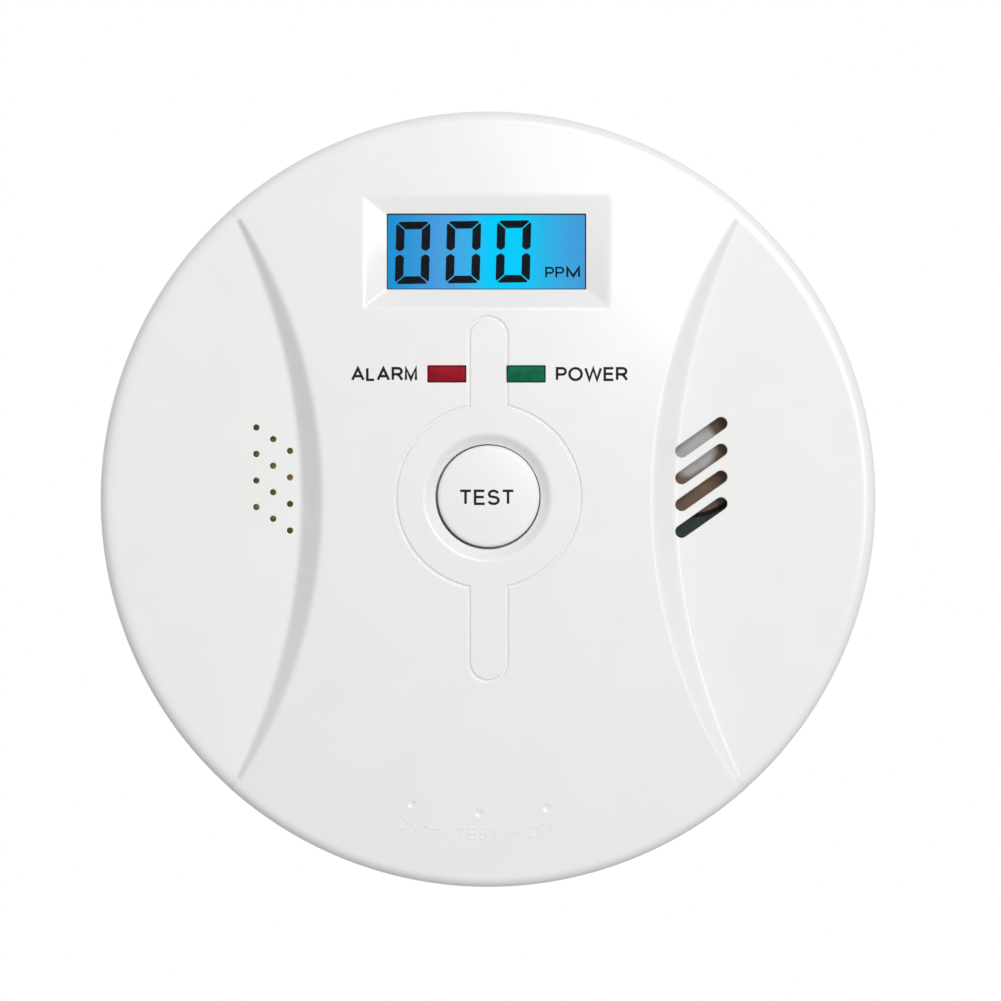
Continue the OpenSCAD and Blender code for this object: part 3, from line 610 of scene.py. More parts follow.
def cover_mesh():
    """The whole front cover as one closed skin, with exact normals on the face, the rim and the side."""
    xy, tri, rim, loops, button = face_sheet()
    skin = Skin()
    skin.add(np.column_stack([xy, face_height(*xy.T)]), face_normals(*xy.T))
    skin.faces += tri.tolist()
    out = xy[rim] / np.linalg.norm(xy[rim], axis=1)[:, None]
    last = add_rim(skin, rim, out)
    exact = len(skin.faces)
    for r, z in FOOT_EDGE:
        last = skin.grow(last, np.column_stack([out * r, np.full(RIM_COUNT, z)]))
    add_inside(skin, last, loops, button)
    mesh = build_mesh("front_cover", skin.points, skin.faces)
    set_exact_normals(mesh, skin.normals, exact)
    return mesh


# Screw posts inside the cover: radius of the hole and the post, foot, end of the hole, chamfer and buried end
CASE_POST = (1.4, 3.2, 18.2, 27, 0.2, 34.0)
CASE_POST_RING = 38
CASE_POST_ANGLES = (30, 150, 270)
BOARD_POST = (1.0, 2.4, 28.4, 33.6, 0.15, 34.6)
BOARD_POSTS_AT = ((-22, 24), (22, 24), (-20, -26), (20, -26))

# The ring round the sounder: radii, foot, buried end and chamfer
SOUNDER_RING = (9.6, 11.0, 30.4, 33.6, 0.1)


def screw_post(hole_r, post_r, foot, hole_end, chamfer, buried):
    """Half a section of a post with the hole for its screw."""
    return [
        (0, hole_end), (hole_r, hole_end), (hole_r, foot), (post_r - chamfer, foot),
        (post_r, foot + chamfer), (post_r, buried), (0, buried),
    ]


def cover_fittings():
    """Screw posts and the sounder's ring on the cover's inside, each let into the skin."""
    points, faces = [], []

    def add(part):
        first = len(points)
        points.extend(part[0])
        faces.extend([[first + i for i in f] for f in part[1]])

    for a in np.radians(CASE_POST_ANGLES):
        add(lathe(screw_post(*CASE_POST), 40, (CASE_POST_RING * math.cos(a), CASE_POST_RING * math.sin(a))))
    for at in BOARD_POSTS_AT:
        add(lathe(screw_post(*BOARD_POST), 32, at))
    inner, outer, foot, buried, chamfer = SOUNDER_RING
    ring = [(inner, buried), (inner, foot + chamfer), (inner + chamfer, foot), (outer - chamfer, foot)]
    add(lathe(ring + [(outer, foot + chamfer), (outer, buried), (inner, buried)], 96, SOUND_AT))
    return build_mesh("cover_fittings", points, faces)


# ---- the other visible pieces

# The button sits a little towards the top right of its hole
BUTTON_SHIFT = (0.09, 0.09)
BUTTON_EDGE = 0.55
BUTTON_CROWN = 0.27
BUTTON_FLANGE_R = 7.6


def button_level(r):
    """The height of the button's crowned top at a distance from its middle."""
    return BUTTON_TOP - BUTTON_CROWN * (r / (BUTTON_R - BUTTON_EDGE)) ** 2.4


def button_top(x, y):
    return button_level(np.hypot(x - BUTTON_SHIFT[0], y - BUTTON_Y - BUTTON_SHIFT[1]))


def button_profile():
    """Half a section of the button: post, hollow underside, flange, side, rounded edge and crown."""
    roof = BUTTON_TOP - 1.6
    foot, flange, chamfer = 33.05, 33.85, 0.1
    side = [(0, 33.2), (1.6, 33.2), (1.6, roof), (5.1, roof), (5.15, foot + chamfer), (5.25, foot)]
    side += [(BUTTON_FLANGE_R - chamfer, foot), (BUTTON_FLANGE_R, foot + chamfer)]
    side += [(BUTTON_FLANGE_R, flange - chamfer), (BUTTON_FLANGE_R - chamfer, flange)]
    side += [(BUTTON_R + 0.05, flange + 0.02), (BUTTON_R, flange + 0.1), (BUTTON_R, 35.5)]
    shoulder = BUTTON_TOP - BUTTON_CROWN - BUTTON_EDGE
    for a in np.radians(np.linspace(0, 90, 10)):
        side.append((BUTTON_R - BUTTON_EDGE * (1 - math.cos(a)), shoulder + BUTTON_EDGE * math.sin(a)))
    for r in (5.4, 4.8, 4.0, 3.0, 2.0, 1.0, 0.0):
        side.append((r, button_level(r)))
    return side


def button_mesh():
    points, faces = lathe(button_profile(), 144, (BUTTON_SHIFT[0], BUTTON_Y + BUTTON_SHIFT[1]))
    return build_mesh("button_cap", points, [f[::-1] for f in faces], 50)


# A lamp's half width and half height: its foot, its body and the flat on its top
LAMP_FOOT = (2.8, 1.3)
LAMP_BODY = (2.4, 1.0)
LAMP_FLAT = (1.6, 0.35)
LAMP_FOOT_Z = (29.6, 30.4)
LAMP_SUNK = 0.27
LAMP_EDGE = 0.18


def lamp_mesh(cx):
    """A moulded epoxy lamp: a block with rounded edges standing on a wider foot."""
    top = dome_height(cx, LAMP_Y) - LAMP_SUNK
    points, faces = [], []
    layers = [(*LAMP_FOOT, LAMP_FOOT_Z[0]), (*LAMP_FOOT, LAMP_FOOT_Z[1]), (*LAMP_BODY, LAMP_FOOT_Z[1])]
    for a in np.radians(np.linspace(0, 90, 5)):
        inset = LAMP_EDGE * (1 - math.cos(a))
        layers.append((LAMP_BODY[0] - inset, LAMP_BODY[1] - inset, top - LAMP_EDGE * (1 - math.sin(a))))
    layers.append((*LAMP_FLAT, top + 0.02))
    rings = []
    for half_w, half_h, z in layers:
        loop = box_loop(cx, LAMP_Y, half_w, half_h, 10, 0.2)
        rings.append(list(range(len(points), len(points) + len(loop))))
        points += [(x, y, z) for x, y in loop]
    faces.append(rings[0][::-1])
    for a, b in zip(rings, rings[1:]):
        faces += [[a[i], a[(i + 1) % len(a)], b[(i + 1) % len(a)], b[i]] for i in range(len(a))]
    faces.append(rings[-1])
    return build_mesh("lamp", points, faces, 40)


# Display figures: upright noughts made of six mitred strokes
FIGURE_W = 4.42
FIGURE_H = 8.02
STROKE_ACROSS = 1.1
STROKE_UP = 0.98
CORNER_CUT = 0.45
MITRE_GAP = 0.15
MIDDLE_GAP = 0.46
TIP_RISE = 0.32
FIGURE_X = (-9.73, -3.19, 3.28)
FIGURE_Y = 31.92
PRINT_TURN = math.radians(0.75)
SLANT = math.tan(math.radians(2.3))
INK_Z = (33.22, 33.28)


def nought_outlines():
    """The six strokes of a nought about its middle, each a convex counter-clockwise outline."""
    w, h, c = FIGURE_W / 2, FIGURE_H / 2, CORNER_CUT
    across, up = STROKE_ACROSS, STROKE_UP
    step = MITRE_GAP / 2 / math.sqrt(2)
    top = [(w - c, h), (c - w, h), (c / 2 - w + step, h - c / 2 + step), (across - w + 2 * step, h - up)]
    top += [(w - across - 2 * step, h - up), (w - c / 2 - step, h - c / 2 + step)]
    tip = MIDDLE_GAP / 2
    left = [(-w, h - c), (-w, tip + TIP_RISE), (across * 0.42 - w, tip), (across * 0.6 - w, tip)]
    left += [(across - w, tip + TIP_RISE), (across - w, h - up - 2 * step)]
    left += [(c / 2 - w - step, h - c / 2 - step)]
    right = [(-x, y) for x, y in reversed(left)]
    upper = [top, left, right]
    return upper + [[(x, -y) for x, y in reversed(o)] for o in upper]


def turned(x, y):
    """A point of the display's print, which is turned a little about the middle of the window."""
    c, s = math.cos(PRINT_TURN), math.sin(PRINT_TURN)
    return x * c - (y - FIGURE_Y) * s, x * s + (y - FIGURE_Y) * c + FIGURE_Y


def figures_mesh():
    outlines = []
    for x0 in FIGURE_X:
        outlines += [[turned(x0 + x + y * SLANT, FIGURE_Y + y) for x, y in o] for o in nought_outlines()]
    points, faces = extruded(outlines, *INK_Z)
    return build_mesh("figures", points, faces)


# Plain capitals on a cell 1 high: each is its width and its strokes, lines of points along their middles
LETTERS = {
    "A": (0.86, [[(0.0, 0.0), (0.43, 1.0), (0.86, 0.0)], [(0.16, 0.32), (0.70, 0.32)]]),
    "E": (0.64, [[(0.64, 1.0), (0.0, 1.0), (0.0, 0.0), (0.66, 0.0)], [(0.0, 0.52), (0.60, 0.52)]]),
    "F": (0.60, [[(0.60, 1.0), (0.0, 1.0), (0.0, 0.0)], [(0.0, 0.50), (0.52, 0.50)]]),
    "L": (0.52, [[(0.0, 1.0), (0.0, 0.0), (0.54, 0.0)]]),
    "M": (0.78, [[(0.0, 0.0), (0.0, 1.0), (0.39, 0.06), (0.78, 1.0), (0.78, 0.0)]]),
    "N": (0.70, [[(0.0, 0.0), (0.0, 1.0), (0.70, 0.0), (0.70, 1.0)]]),
    "O": (0.92, [[("arc", 0.46, 0.5, 0.46, 0.5, 0, 360)]]),
    "P": (0.64, [[(0.0, 0.0), (0.0, 1.0), ("arc", 0.38, 0.73, 0.27, 0.27, 90, -90), (0.0, 0.46)]]),
    "R": (0.72, [[(0.0, 0.0), (0.0, 1.0), ("arc", 0.42, 0.74, 0.26, 0.26, 90, -90), (0.0, 0.48)],
                 [(0.36, 0.48), (0.52, 0.34), (0.74, 0.0)]]),
    "S": (0.68, [[("arc", 0.34, 0.745, 0.30, 0.255, 15, 225),
                  ("arc", 0.345, 0.265, 0.335, 0.265, 60, -165)]]),
    "T": (0.74, [[(0.0, 1.0), (0.74, 1.0)], [(0.37, 1.0), (0.37, 0.0)]]),
    "W": (1.16, [[(0.0, 1.0), (0.29, 0.0), (0.58, 0.98), (0.87, 0.0), (1.16, 1.0)]]),
}

# The space between letters, as shares of their height and of their strokes' width
GAP_OF_HEIGHT = 0.17
GAP_OF_STROKE = 0.6


def stroke_line(stroke):
    """A stroke's points, with its arcs (middle, radii, first and last angle) drawn out."""
    line = []
    for item in stroke:
        if item[0] != "arc":
            line.append(item)
            continue
        cx, cy, rx, ry, first, last = item[1:]
        for a in np.radians(np.linspace(first, last, max(7, int(abs(last - first) / 12)))):
            line.append((cx + rx * math.cos(a), cy + ry * math.sin(a)))
    return np.array(line, float)


def stroke_pieces(line, width):
    """A line of even width with mitred bends, as convex outlines; its ends are cut square."""
    run = np.diff(line, axis=0)
    run /= np.linalg.norm(run, axis=1)[:, None]
    side = np.column_stack([-run[:, 1], run[:, 0]])
    closed = np.allclose(line[0], line[-1])
    before = np.vstack([side[-1:] if closed else side[:1], side])
    after = np.vstack([side, side[:1] if closed else side[-1:]])
    middle = before + after
    middle /= np.linalg.norm(middle, axis=1)[:, None]
    reach = width / 2 / np.clip((middle * after).sum(axis=1), 0.42, 1)
    left = (line + middle * reach[:, None]).tolist()
    right = (line - middle * reach[:, None]).tolist()
    return [[right[i], right[i + 1], left[i + 1], left[i]] for i in range(len(run))]


def word_outlines(text, box, weight):
    """A word's outlines, its strokes weight wide, set to fill a box (left, right, low, high)."""
    left, right, low, high = box
    tall = high - low - weight
    gap = GAP_OF_STROKE * weight + GAP_OF_HEIGHT * (high - low)
    wide = (right - left - weight - gap * (len(text) - 1)) / sum(LETTERS[c][0] for c in text)
    outlines, x = [], left + weight / 2
    for c in text:
        for stroke in LETTERS[c][1]:
            line = stroke_line(stroke) * (wide, tall) + (x, low + weight / 2)
            outlines += stroke_pieces(line, weight)
        x += LETTERS[c][0] * wide + gap
    return outlines


def ink_mesh(name, outlines, height, lift=0.004, thick=0.012):
    """Print that lies on a surface given as a height over (x, y)."""
    points, faces = extruded(outlines, 0, 1)
    x, y, side = np.array(points).T
    return build_mesh(name, np.column_stack([x, y, height(x, y) + lift + thick * side]), faces)


# The legend's words (text, middle along the arc, width) and the strokes of its dashes
LEGEND_WORDS = (("ON", -9.2, 2.7), ("TEST", 0.0, 5.6), ("OFF", 8.4, 4.1))
LEGEND_DASHES = ([(-6.9, 0.1), (-4.4, 0.1)], [(-6.9, 0.1), (-6.2, 0.5)], [(3.7, 0.1), (5.4, 0.1)])
LEGEND_R = 43.1
LEGEND_H = 1.6
LEGEND_PROUD = 0.06
LEGEND_SUNK = 0.02
LEGEND_STROKE = 0.22


def legend_mesh():
    """The low moulded switch legend on an arc near the rim, with dashes between its words."""
    outlines = []
    for text, middle, width in LEGEND_WORDS:
        box = (middle - width / 2, middle + width / 2, -LEGEND_H / 2, LEGEND_H / 2)
        outlines += word_outlines(text, box, LEGEND_STROKE)
    for dash in LEGEND_DASHES:
        outlines += stroke_pieces(np.array(dash), LEGEND_STROKE)
    word, faces = extruded(outlines, 0, 1)
    x, y, side = np.array(word).T
    angle = math.radians(DOT_ANGLES[1]) + x / LEGEND_R
    px, py = (LEGEND_R - y) * np.cos(angle), (LEGEND_R - y) * np.sin(angle)
    z = base_height(px, py) - LEGEND_SUNK + (LEGEND_PROUD + LEGEND_SUNK) * side
    return build_mesh("legend", np.column_stack([px, py, z]), faces)


# The painted shadow ring along the window's edge: how far it shows inside the window, how far it goes behind
# the lip, and its levels under the lip
SHADOW_RING_SHOWN = 0.16
SHADOW_RING_HIDDEN = 0.5
SHADOW_RING_Z = (LIP_BACK - 0.09, LIP_BACK - 0.01)
SHADOW_RING_CHAMFER = (0.06, 0.03)


def shadow_ring_mesh():
    """A thin dark frame just inside the window, which paints the shadow along the window's edge."""
    points, faces = [], []
    low, high = SHADOW_RING_Z
    edge, drop = SHADOW_RING_CHAMFER
    section = [(SHADOW_RING_HIDDEN, low), (SHADOW_RING_HIDDEN, high), (edge - SHADOW_RING_SHOWN, high)]
    section += [(-SHADOW_RING_SHOWN, high - drop), (-SHADOW_RING_SHOWN, low)]
    for grow, z in section:
        loop = box_loop(WINDOW_X, WINDOW_Y, WINDOW_HALF_W + grow, WINDOW_HALF_H + grow, 100)
        points += [(x, y, z) for x, y in loop]
    for k in range(len(section)):
        a, b = 4 * k, 4 * ((k + 1) % len(section))
        faces += [[a + (i + 1) % 4, a + i, b + i, b + (i + 1) % 4] for i in range(4)]
    return build_mesh("window_shadow_ring", points, faces)


# ---- materials


def set_stops(ramp, stops):
    """Gives a colour ramp its stops, each a place and a colour."""
    elements = ramp.color_ramp.elements
    while len(elements) < len(stops):
        elements.new(0.5)
    for stop, (place, colour) in zip(elements, stops):
        stop.position = place
        stop.color = (*colour, 1)


class Finish:
    """A Principled material whose variation comes from noise in the piece's own coordinates."""

    def __init__(self, name, colour, rough, **sockets):
        self.mat = bpy.data.materials.new(name)
        self.mat.use_nodes = True
        self.tree = self.mat.node_tree
        self.bsdf = self.tree.nodes["Principled BSDF"]
        self.colour = colour
        self.set("Base Color", (*colour, 1))
        self.set("Roughness", rough)
        for key, value in sockets.items():
            self.set(key.replace("_", " "), value)
        self.coords = self.tree.nodes.new("ShaderNodeTexCoord")
        self.last_normal = None

    def set(self, socket, value):
        self.bsdf.inputs[socket].default_value = value

    def node(self, kind, **values):
        made = self.tree.nodes.new(kind)
        for key, value in values.items():
            if key in made.inputs:
                made.inputs[key].default_value = value
            else:
                setattr(made, key, value)
        return made

    def link(self, a, b):
        self.tree.links.new(a, b)

    def noise(self, size, detail=3.0, stretch=(1, 1, 1)):
        """Noise whose blobs are about size metres across, drawn out along an axis by stretch."""
        mapping = self.node("ShaderNodeMapping")
        mapping.inputs["Scale"].default_value = [1 / (size * k) for k in stretch]
        self.link(self.coords.outputs["Object"], mapping.inputs["Vector"])
        noise = self.node("ShaderNodeTexNoise", Scale=1.0, Detail=detail)
        self.link(mapping.outputs["Vector"], noise.inputs["Vector"])
        return noise.outputs["Fac"]

    def ranged(self, source, low, high, to_low=0.0, to_high=1.0):
        """The source with its span from low to high drawn out over to_low to to_high."""
        spread = self.node("ShaderNodeMapRange")
        for key, value in zip(("From Min", "From Max", "To Min", "To Max"), (low, high, to_low, to_high)):
            spread.inputs[key].default_value = value
        self.link(source, spread.inputs["Value"])
        return spread.outputs["Result"]

    def tint(self, source, low, high, at=(0.35, 0.65)):
        """Colours the surface from low to high, over the given range of the source."""
        ramp = self.node("ShaderNodeValToRGB")
        set_stops(ramp, list(zip(at, (low, high))))
        self.link(source, ramp.inputs["Fac"])
        self.link(ramp.outputs["Color"], self.bsdf.inputs["Base Color"])
        return self

    def mottle(self, size, amount, detail=3.0):
        """Lightens and darkens the colour by the given share."""
        low = [c * (1 - amount) for c in self.colour]
        high = [min(1, c * (1 + amount)) for c in self.colour]
        return self.tint(self.noise(size, detail), low, high)

    def gloss(self, size, low, high, stretch=(1, 1, 1)):
        """Roughness that wanders between low and high."""
        wander = self.ranged(self.noise(size, 3.0, stretch), 0.3, 0.7, low, high)
        self.link(wander, self.bsdf.inputs["Roughness"])
        return self

    def grain(self, size, depth, detail=2.0, stretch=(1, 1, 1)):
        """Bumps of the given depth in metres, laid over any that are there already."""
        bump = self.node("ShaderNodeBump", Strength=1.0, Distance=depth)
        self.link(self.noise(size, detail, stretch), bump.inputs["Height"])
        if self.last_normal:
            self.link(self.last_normal, bump.inputs["Normal"])
        self.last_normal = bump.outputs["Normal"]
        self.link(self.last_normal, self.bsdf.inputs["Normal"])
        return self

    def soft_edges(self, radius):
        """Rounds the look of hard edges, before any grain is laid on."""
        bevel = self.node("ShaderNodeBevel", samples=4)
        bevel.inputs["Radius"].default_value = radius
        self.last_normal = bevel.outputs["Normal"]
        self.link(self.last_normal, self.bsdf.inputs["Normal"])
        return self


def moulded(name, colour, rough, soft=0.0):
    """White or coloured ABS: fine spark grain, slow flow marks and a slightly uneven gloss."""
    finish = Finish(name, colour, rough, Specular_IOR_Level=0.45)
    if soft:
        finish.soft_edges(soft)
    finish.mottle(0.009, 0.008, 4.0).gloss(0.004, rough - 0.02, rough + 0.03)
    return finish.grain(0.00035, 0.000004).grain(0.003, 0.000006).mat


def plain_plastic(name, colour, rough, **more):
    finish = Finish(name, colour, rough, **more)
    return finish.mottle(0.002, 0.08).gloss(0.001, rough - 0.06, rough + 0.08).grain(0.0002, 0.000004).mat


def ink(name, colour, rough, shine):
    return plain_plastic(name, colour, rough, Specular_IOR_Level=shine)


def lacquered(name, colour, rough):
    return plain_plastic(name, colour, rough, Coat_Weight=0.5)


def pressed_fill(name, colour, rough, mottle, grain):
    """Felt or pressed powder: uneven in colour, with a coarse grain."""
    return Finish(name, colour, rough).mottle(*mottle).grain(*grain).mat


METAL_GRAIN = 0.0004


def metal(name, colour, rough, brushed=(1, 1, 1)):
    finish = Finish(name, colour, rough, Metallic=1.0)
    finish.mottle(0.003, 0.06).gloss(METAL_GRAIN, rough - 0.08, rough + 0.1, brushed)
    return finish.grain(METAL_GRAIN, 0.000002, 2.0, brushed).mat


def see_through(name, colour, share):
    """A clear sheet: a little of its own colour and gloss over what lies behind it."""
    rough = 0.02
    finish = Finish(name, colour, rough, Alpha=share)
    return finish.mottle(0.004, 0.05).gloss(0.003, rough, rough + 0.03).mat


def tinted_epoxy(name, colour, deep):
    """A lamp's coloured resin, with small darker swirls."""
    finish = Finish(name, colour, 0.3, Specular_IOR_Level=0.08)
    return finish.tint(finish.noise(0.0014), deep, colour, (0.25, 0.6)).grain(0.0009, 0.00001).mat


# The backlight's colour at shares of the window's width, from left to right
GLOW = [
    (0.0, (0.010, 0.290, 0.660)), (0.11, (0.030, 0.310, 0.700)), (0.25, (0.065, 0.345, 0.760)),
    (0.40, (0.040, 0.440, 0.850)), (0.50, (0.000, 0.600, 1.000)), (0.66, (0.000, 0.620, 1.000)),
    (0.78, (0.020, 0.480, 0.850)), (0.90, (0.050, 0.380, 0.760)), (1.0, (0.060, 0.330, 0.700)),
]


def backlight(name):
    """The lit layer behind the display: blue, with a cyan pool right of its middle."""
    finish = Finish(name, (0.002, 0.01, 0.015), 0.5, Emission_Strength=1.07, Specular_IOR_Level=0.0)
    split = finish.node("ShaderNodeSeparateXYZ")
    finish.link(finish.coords.outputs["Object"], split.inputs["Vector"])
    across = finish.ranged(split.outputs["X"], -WINDOW_HALF_W * MM, WINDOW_HALF_W * MM)
    ramp = finish.node("ShaderNodeValToRGB")
    set_stops(ramp, GLOW)
    finish.link(across, ramp.inputs["Fac"])
    finish.link(ramp.outputs["Color"], finish.bsdf.inputs["Emission Color"])
    return finish.grain(0.0006, 0.000002).mat


def circuit(name, colour):
    """Solder mask over copper tracks."""
    finish = Finish(name, colour, 0.3)
    tracks = finish.node("ShaderNodeTexVoronoi", feature="DISTANCE_TO_EDGE", Scale=450.0)
    finish.link(finish.coords.outputs["Object"], tracks.inputs["Vector"])
    light = [min(1, c * 1.9) for c in colour]
    return finish.tint(tracks.outputs["Distance"], light, colour, (0.06, 0.09)).grain(0.0008, 0.00001).mat


# The middle of the painted reflection on the sensor can's top, in design axes, its radius and the width of
# its soft edge
CAN_GLINT_MIDDLE = (25.6, 7.0, 31.5)
CAN_GLINT_R = 3.9
CAN_GLINT_EDGE = (-0.5, 0.6)


def sensor_can(name):
    """Pressed steel, browned by its lacquer, with a painted reflection: one round patch of its top is
    coloured bright grey.
    """
    finish = Finish(name, (0.35, 0.34, 0.31), 0.5, Metallic=0.2)
    away = finish.node("ShaderNodeVectorMath", operation="DISTANCE")
    finish.link(finish.coords.outputs["Object"], away.inputs[0])
    away.inputs[1].default_value = world(CAN_GLINT_MIDDLE)[0]
    painted_glint = finish.ranged(away.outputs["Value"], *[(CAN_GLINT_R + edge) * MM for edge in CAN_GLINT_EDGE])
    uneven = finish.node("ShaderNodeMath", operation="MULTIPLY_ADD")
    uneven.inputs[1].default_value = 0.5
    finish.link(finish.noise(0.002), uneven.inputs[0])
    finish.link(painted_glint, uneven.inputs[2])
    # Painted reflection: bright grey inside the round patch, the brown of the lacquer outside it.
    finish.tint(uneven.outputs["Value"], (0.50, 0.50, 0.49), (0.17, 0.10, 0.06), (0.3, 1.0))
    return finish.gloss(0.002, 0.4, 0.6).grain(0.0003, 0.000004).mat


WHITE = (0.885, 0.885, 0.875)

# Each material slot: the function that makes its finish, and what it is given
FINISHES = {
    "white_abs": (moulded, WHITE, 0.19),
    "case_abs": (moulded, (0.84, 0.84, 0.825), 0.48, 0.0003),
    "button_abs": (moulded, WHITE, 0.3),
    "steel": (metal, (0.62, 0.63, 0.64), 0.3),
    "nickel": (metal, (0.7, 0.7, 0.68), 0.2),
    "pin_gold": (metal, (0.83, 0.64, 0.3), 0.25),
    "black_plastic": (plain_plastic, (0.02, 0.02, 0.022), 0.45),
    "grey_plastic": (plain_plastic, (0.16, 0.16, 0.17), 0.5),
    "white_plastic": (plain_plastic, (0.78, 0.79, 0.78), 0.3),
    "polariser": (see_through, (0.02, 0.05, 0.07), 0.03),
    "glass": (see_through, (0.03, 0.06, 0.07), 0.02),
    "lcd_ink": (ink, (0.006, 0.006, 0.009), 0.5, 0.03),
    "seal": (plain_plastic, (0.012, 0.02, 0.03), 0.5),
    "light_guide": (backlight,),
    "led_red": (tinted_epoxy, (0.34, 0.006, 0.02), (0.22, 0.003, 0.012)),
    "led_green": (tinted_epoxy, (0.004, 0.15, 0.07), (0.002, 0.09, 0.045)),
    "pcb_green": (circuit, (0.006, 0.045, 0.024)),
    "pcb_brown": (circuit, (0.17, 0.085, 0.035)),
    "chip": (plain_plastic, (0.018, 0.018, 0.02), 0.5),
    "can_sleeve": (plain_plastic, (0.01, 0.015, 0.06), 0.25),
    "ferrite": (plain_plastic, (0.03, 0.03, 0.03), 0.6),
    "copper": (metal, (0.6, 0.24, 0.1), 0.3, (1, 1, 0.1)),
    "ceramic_tan": (plain_plastic, (0.35, 0.22, 0.11), 0.4),
    "sensor_metal": (sensor_can,),
    "carbon": (pressed_fill, (0.06, 0.045, 0.035), 0.9, (0.0004, 0.5), (0.0003, 0.0001)),
    "resin_brown": (plain_plastic, (0.13, 0.05, 0.02), 0.45),
    "tape": (pressed_fill, (0.7, 0.69, 0.6), 0.85, (0.0006, 0.15), (0.0004, 0.00005)),
    "brass": (metal, (0.75, 0.53, 0.2), 0.3, (12, 1, 1)),
    "piezo": (metal, (0.75, 0.74, 0.7), 0.45),
    "wire_red": (plain_plastic, (0.45, 0.012, 0.012), 0.4),
    "wire_black": (plain_plastic, (0.015, 0.015, 0.015), 0.4),
    "cell_sleeve": (lacquered, (0.02, 0.035, 0.06), 0.25),
}
FINISH = {slot: make(slot, *given) for slot, (make, *given) in FINISHES.items()}
INK = ink("ink", (0.010, 0.010, 0.011), 0.6, 0.2)

# The display's rear polariser shows the light that comes through it, so it looks like the light guide
SHOWN_AS = {"lcd_rear_polariser": "light_guide"}

for part in frame["record"]["subparts"]:
    node = part["node"]
    for mesh_slot in frame["nodes"][node].material_slots:
        mesh_slot.material = FINISH[SHOWN_AS.get(node, part["material_slot"])]

# ---- the pieces in place

add_piece("front_cover", cover_mesh(), "housing", FINISH["white_abs"], ["front_housing"])
add_piece("cover_fittings", cover_fittings(), "housing", FINISH["white_abs"])
add_piece("legend", legend_mesh(), "housing", FINISH["white_abs"])
add_piece("button_cap", button_mesh(), "button", FINISH["button_abs"], ["test_button"])
add_piece("red_lamp", lamp_mesh(LAMP_X[0]), "housing", FINISH["led_red"], ["alarm_led"])
add_piece("green_lamp", lamp_mesh(LAMP_X[1]), "housing", FINISH["led_green"], ["power_led"])
add_piece("figures", figures_mesh(), "housing", FINISH["lcd_ink"], ["lcd_segments"])
# A thin dark ring just inside the window: painted shadow along the window's edge, in the finish of the
# display's seal.
add_piece("painted_window_shadow", shadow_ring_mesh(), "housing", FINISH["seal"])


def display_level(x, y):
    return np.full_like(x, INK_Z[0])


# Each print: text, box (left, right, low, high), width of its strokes, the surface under it and its body
PRINT = {
    "alarm_print": ("ALARM", (-17.6, -9.1, 15.18, 17.0), 0.33, dome_height, "housing"),
    "power_print": ("POWER", (8.72, 18.0, 15.18, 17.0), 0.33, dome_height, "housing"),
    "test_print": ("TEST", (-3.74, 3.44, -0.76, 1.24), 0.33, button_top, "button"),
}
for name, (text, box, weight, height, body) in PRINT.items():
    add_piece(name, ink_mesh(name, word_outlines(text, box, weight), height), body, INK)
UNIT = (("PP", (7.35, 9.8, 28.4, 29.88), 0.23), ("M", (10.05, 11.85, 28.4, 29.88), 0.3))
unit = [[turned(x, y) for x, y in outline] for letters in UNIT for outline in word_outlines(*letters)]
add_piece("unit", ink_mesh("unit", unit, display_level, 0, 0.05), "housing", FINISH["lcd_ink"])

# ---- floor, light and camera

# The floor: its radius, its top and its underside
FLOOR_R = 1100
FLOOR_Z = (-330, -334)


def floor():
    top, bottom = FLOOR_Z
    points, faces = lathe([(0, top), (FLOOR_R, top), (FLOOR_R, bottom), (0, bottom)], 96)
    mesh = bpy.data.meshes.new("floor")
    mesh.from_pydata([(x * MM, y * MM, z * MM) for x, y, z in points], [], faces)
    piece = in_scene("floor", mesh)
    paint = Finish("floor_paint", (0.8, 0.8, 0.79), 0.7)
    mesh.materials.append(paint.mottle(0.05, 0.01).grain(0.004, 0.0001).mat)
    piece.visible_diffuse = False


# The point that the lights face, in the frame's metres
AIM = Vector((0, -0.035, 0))
# Each light: degrees off the face's axis, degrees round it from the right, distance, size, watts
SOFTBOX = (29.0, 50.0, 0.9, 0.6, 4.25)
SHEEN = (14.0, 50.0, 0.9, 0.08, 0.13)
EDGE_LIGHT = (24.0, 2.0, 0.9, 0.2, 0.4)
# The sky's brightness over the direction's Y: straight in front, at the sides and behind
SKY = [(-1.0, 0.65), (-0.5, 0.33), (0.0, 0.4), (0.4, 0.65), (0.95, 1.0)]


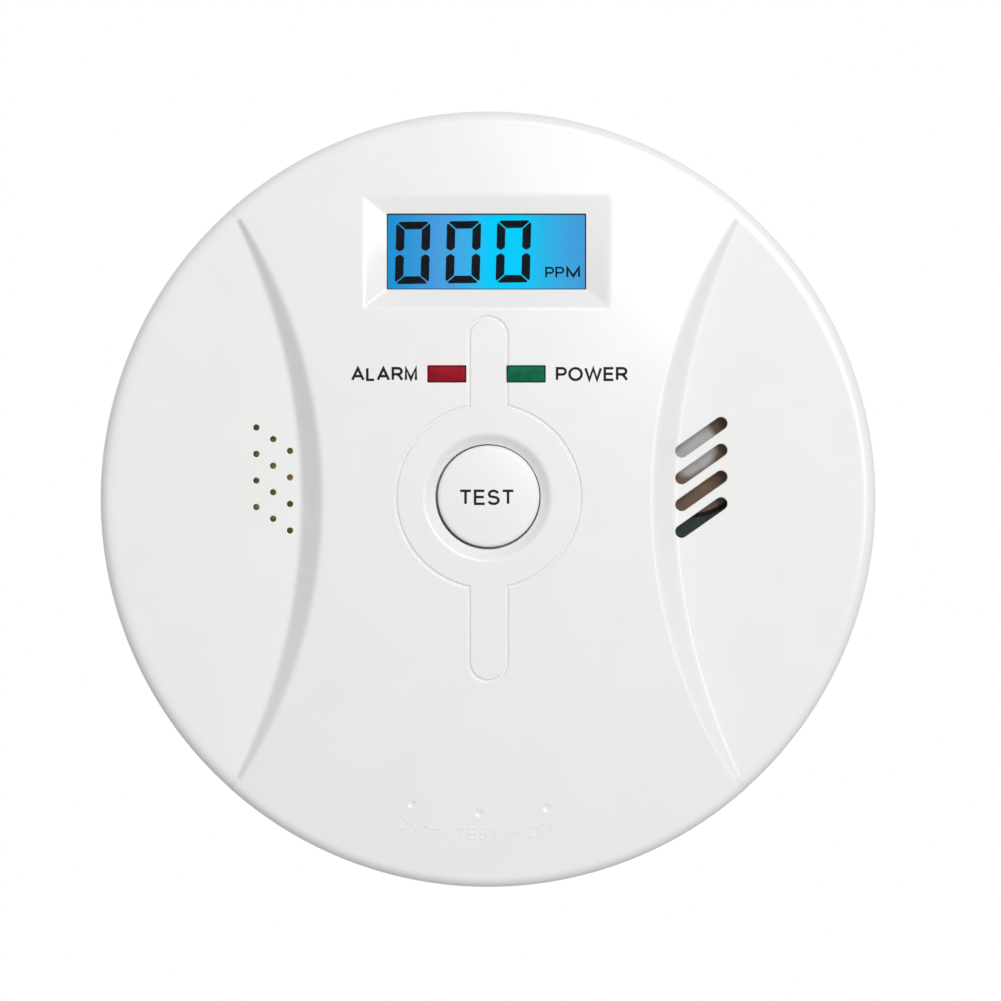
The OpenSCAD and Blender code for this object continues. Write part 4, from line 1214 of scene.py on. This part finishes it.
def sky():
    """White behind the object, grey at the sides and a soft fill from the front."""
    made = bpy.data.worlds.new("studio")
    bpy.context.scene.world = made
    made.use_nodes = True
    tree = made.node_tree
    ground = tree.nodes["Background"]
    coords = tree.nodes.new("ShaderNodeTexCoord")
    split = tree.nodes.new("ShaderNodeSeparateXYZ")
    tree.links.new(coords.outputs["Generated"], split.inputs["Vector"])
    spread = tree.nodes.new("ShaderNodeMapRange")
    spread.inputs["From Min"].default_value = -1.0
    tree.links.new(split.outputs["Y"], spread.inputs["Value"])
    ramp = tree.nodes.new("ShaderNodeValToRGB")
    ramp.color_ramp.interpolation = "EASE"
    set_stops(ramp, [((y + 1) / 2, (bright,) * 3) for y, bright in SKY])
    tree.links.new(spread.outputs["Result"], ramp.inputs["Fac"])
    tree.links.new(ramp.outputs["Color"], ground.inputs["Color"])


def area_light(name, off_axis, turn, distance, size, watts):
    lamp = bpy.data.lights.new(name, "AREA")
    lamp.shape = "DISK"
    lamp.size = size
    lamp.energy = watts
    holder = in_scene(name, lamp)
    off, turn = math.radians(off_axis), math.radians(turn)
    along = Vector((math.sin(off) * math.cos(turn), -math.cos(off), math.sin(off) * math.sin(turn)))
    holder.location = AIM + along * distance
    holder.rotation_euler = along.to_track_quat("Z", "Y").to_euler()


# The camera, in metres: its distance from the side panels' plane, how far it is off the middle, what it shows
CAMERA_DISTANCE = 1.2
CAMERA_SHIFT = (0.00161, -0.00017)
HALF_FRAME = 0.0645
SENSOR = 36.0


def camera():
    """Straight in front of the face, showing HALF_FRAME each way in the plane of the side panels."""
    made = bpy.data.cameras.new("camera")
    made.sensor_width = SENSOR
    made.lens = SENSOR / 2 * CAMERA_DISTANCE / HALF_FRAME
    made.clip_start = 0.05
    made.clip_end = 20
    holder = in_scene("camera", made)
    holder.location = (CAMERA_SHIFT[0], -PANEL_Z * MM - CAMERA_DISTANCE, CAMERA_SHIFT[1])
    holder.rotation_euler = (math.pi / 2, 0, 0)
    bpy.context.scene.camera = holder


floor()
sky()
area_light("softbox", *SOFTBOX)
area_light("edge_light", *EDGE_LIGHT)
area_light("sheen", *SHEEN)
camera()
bpy.context.scene.view_settings.view_transform = "Standard"
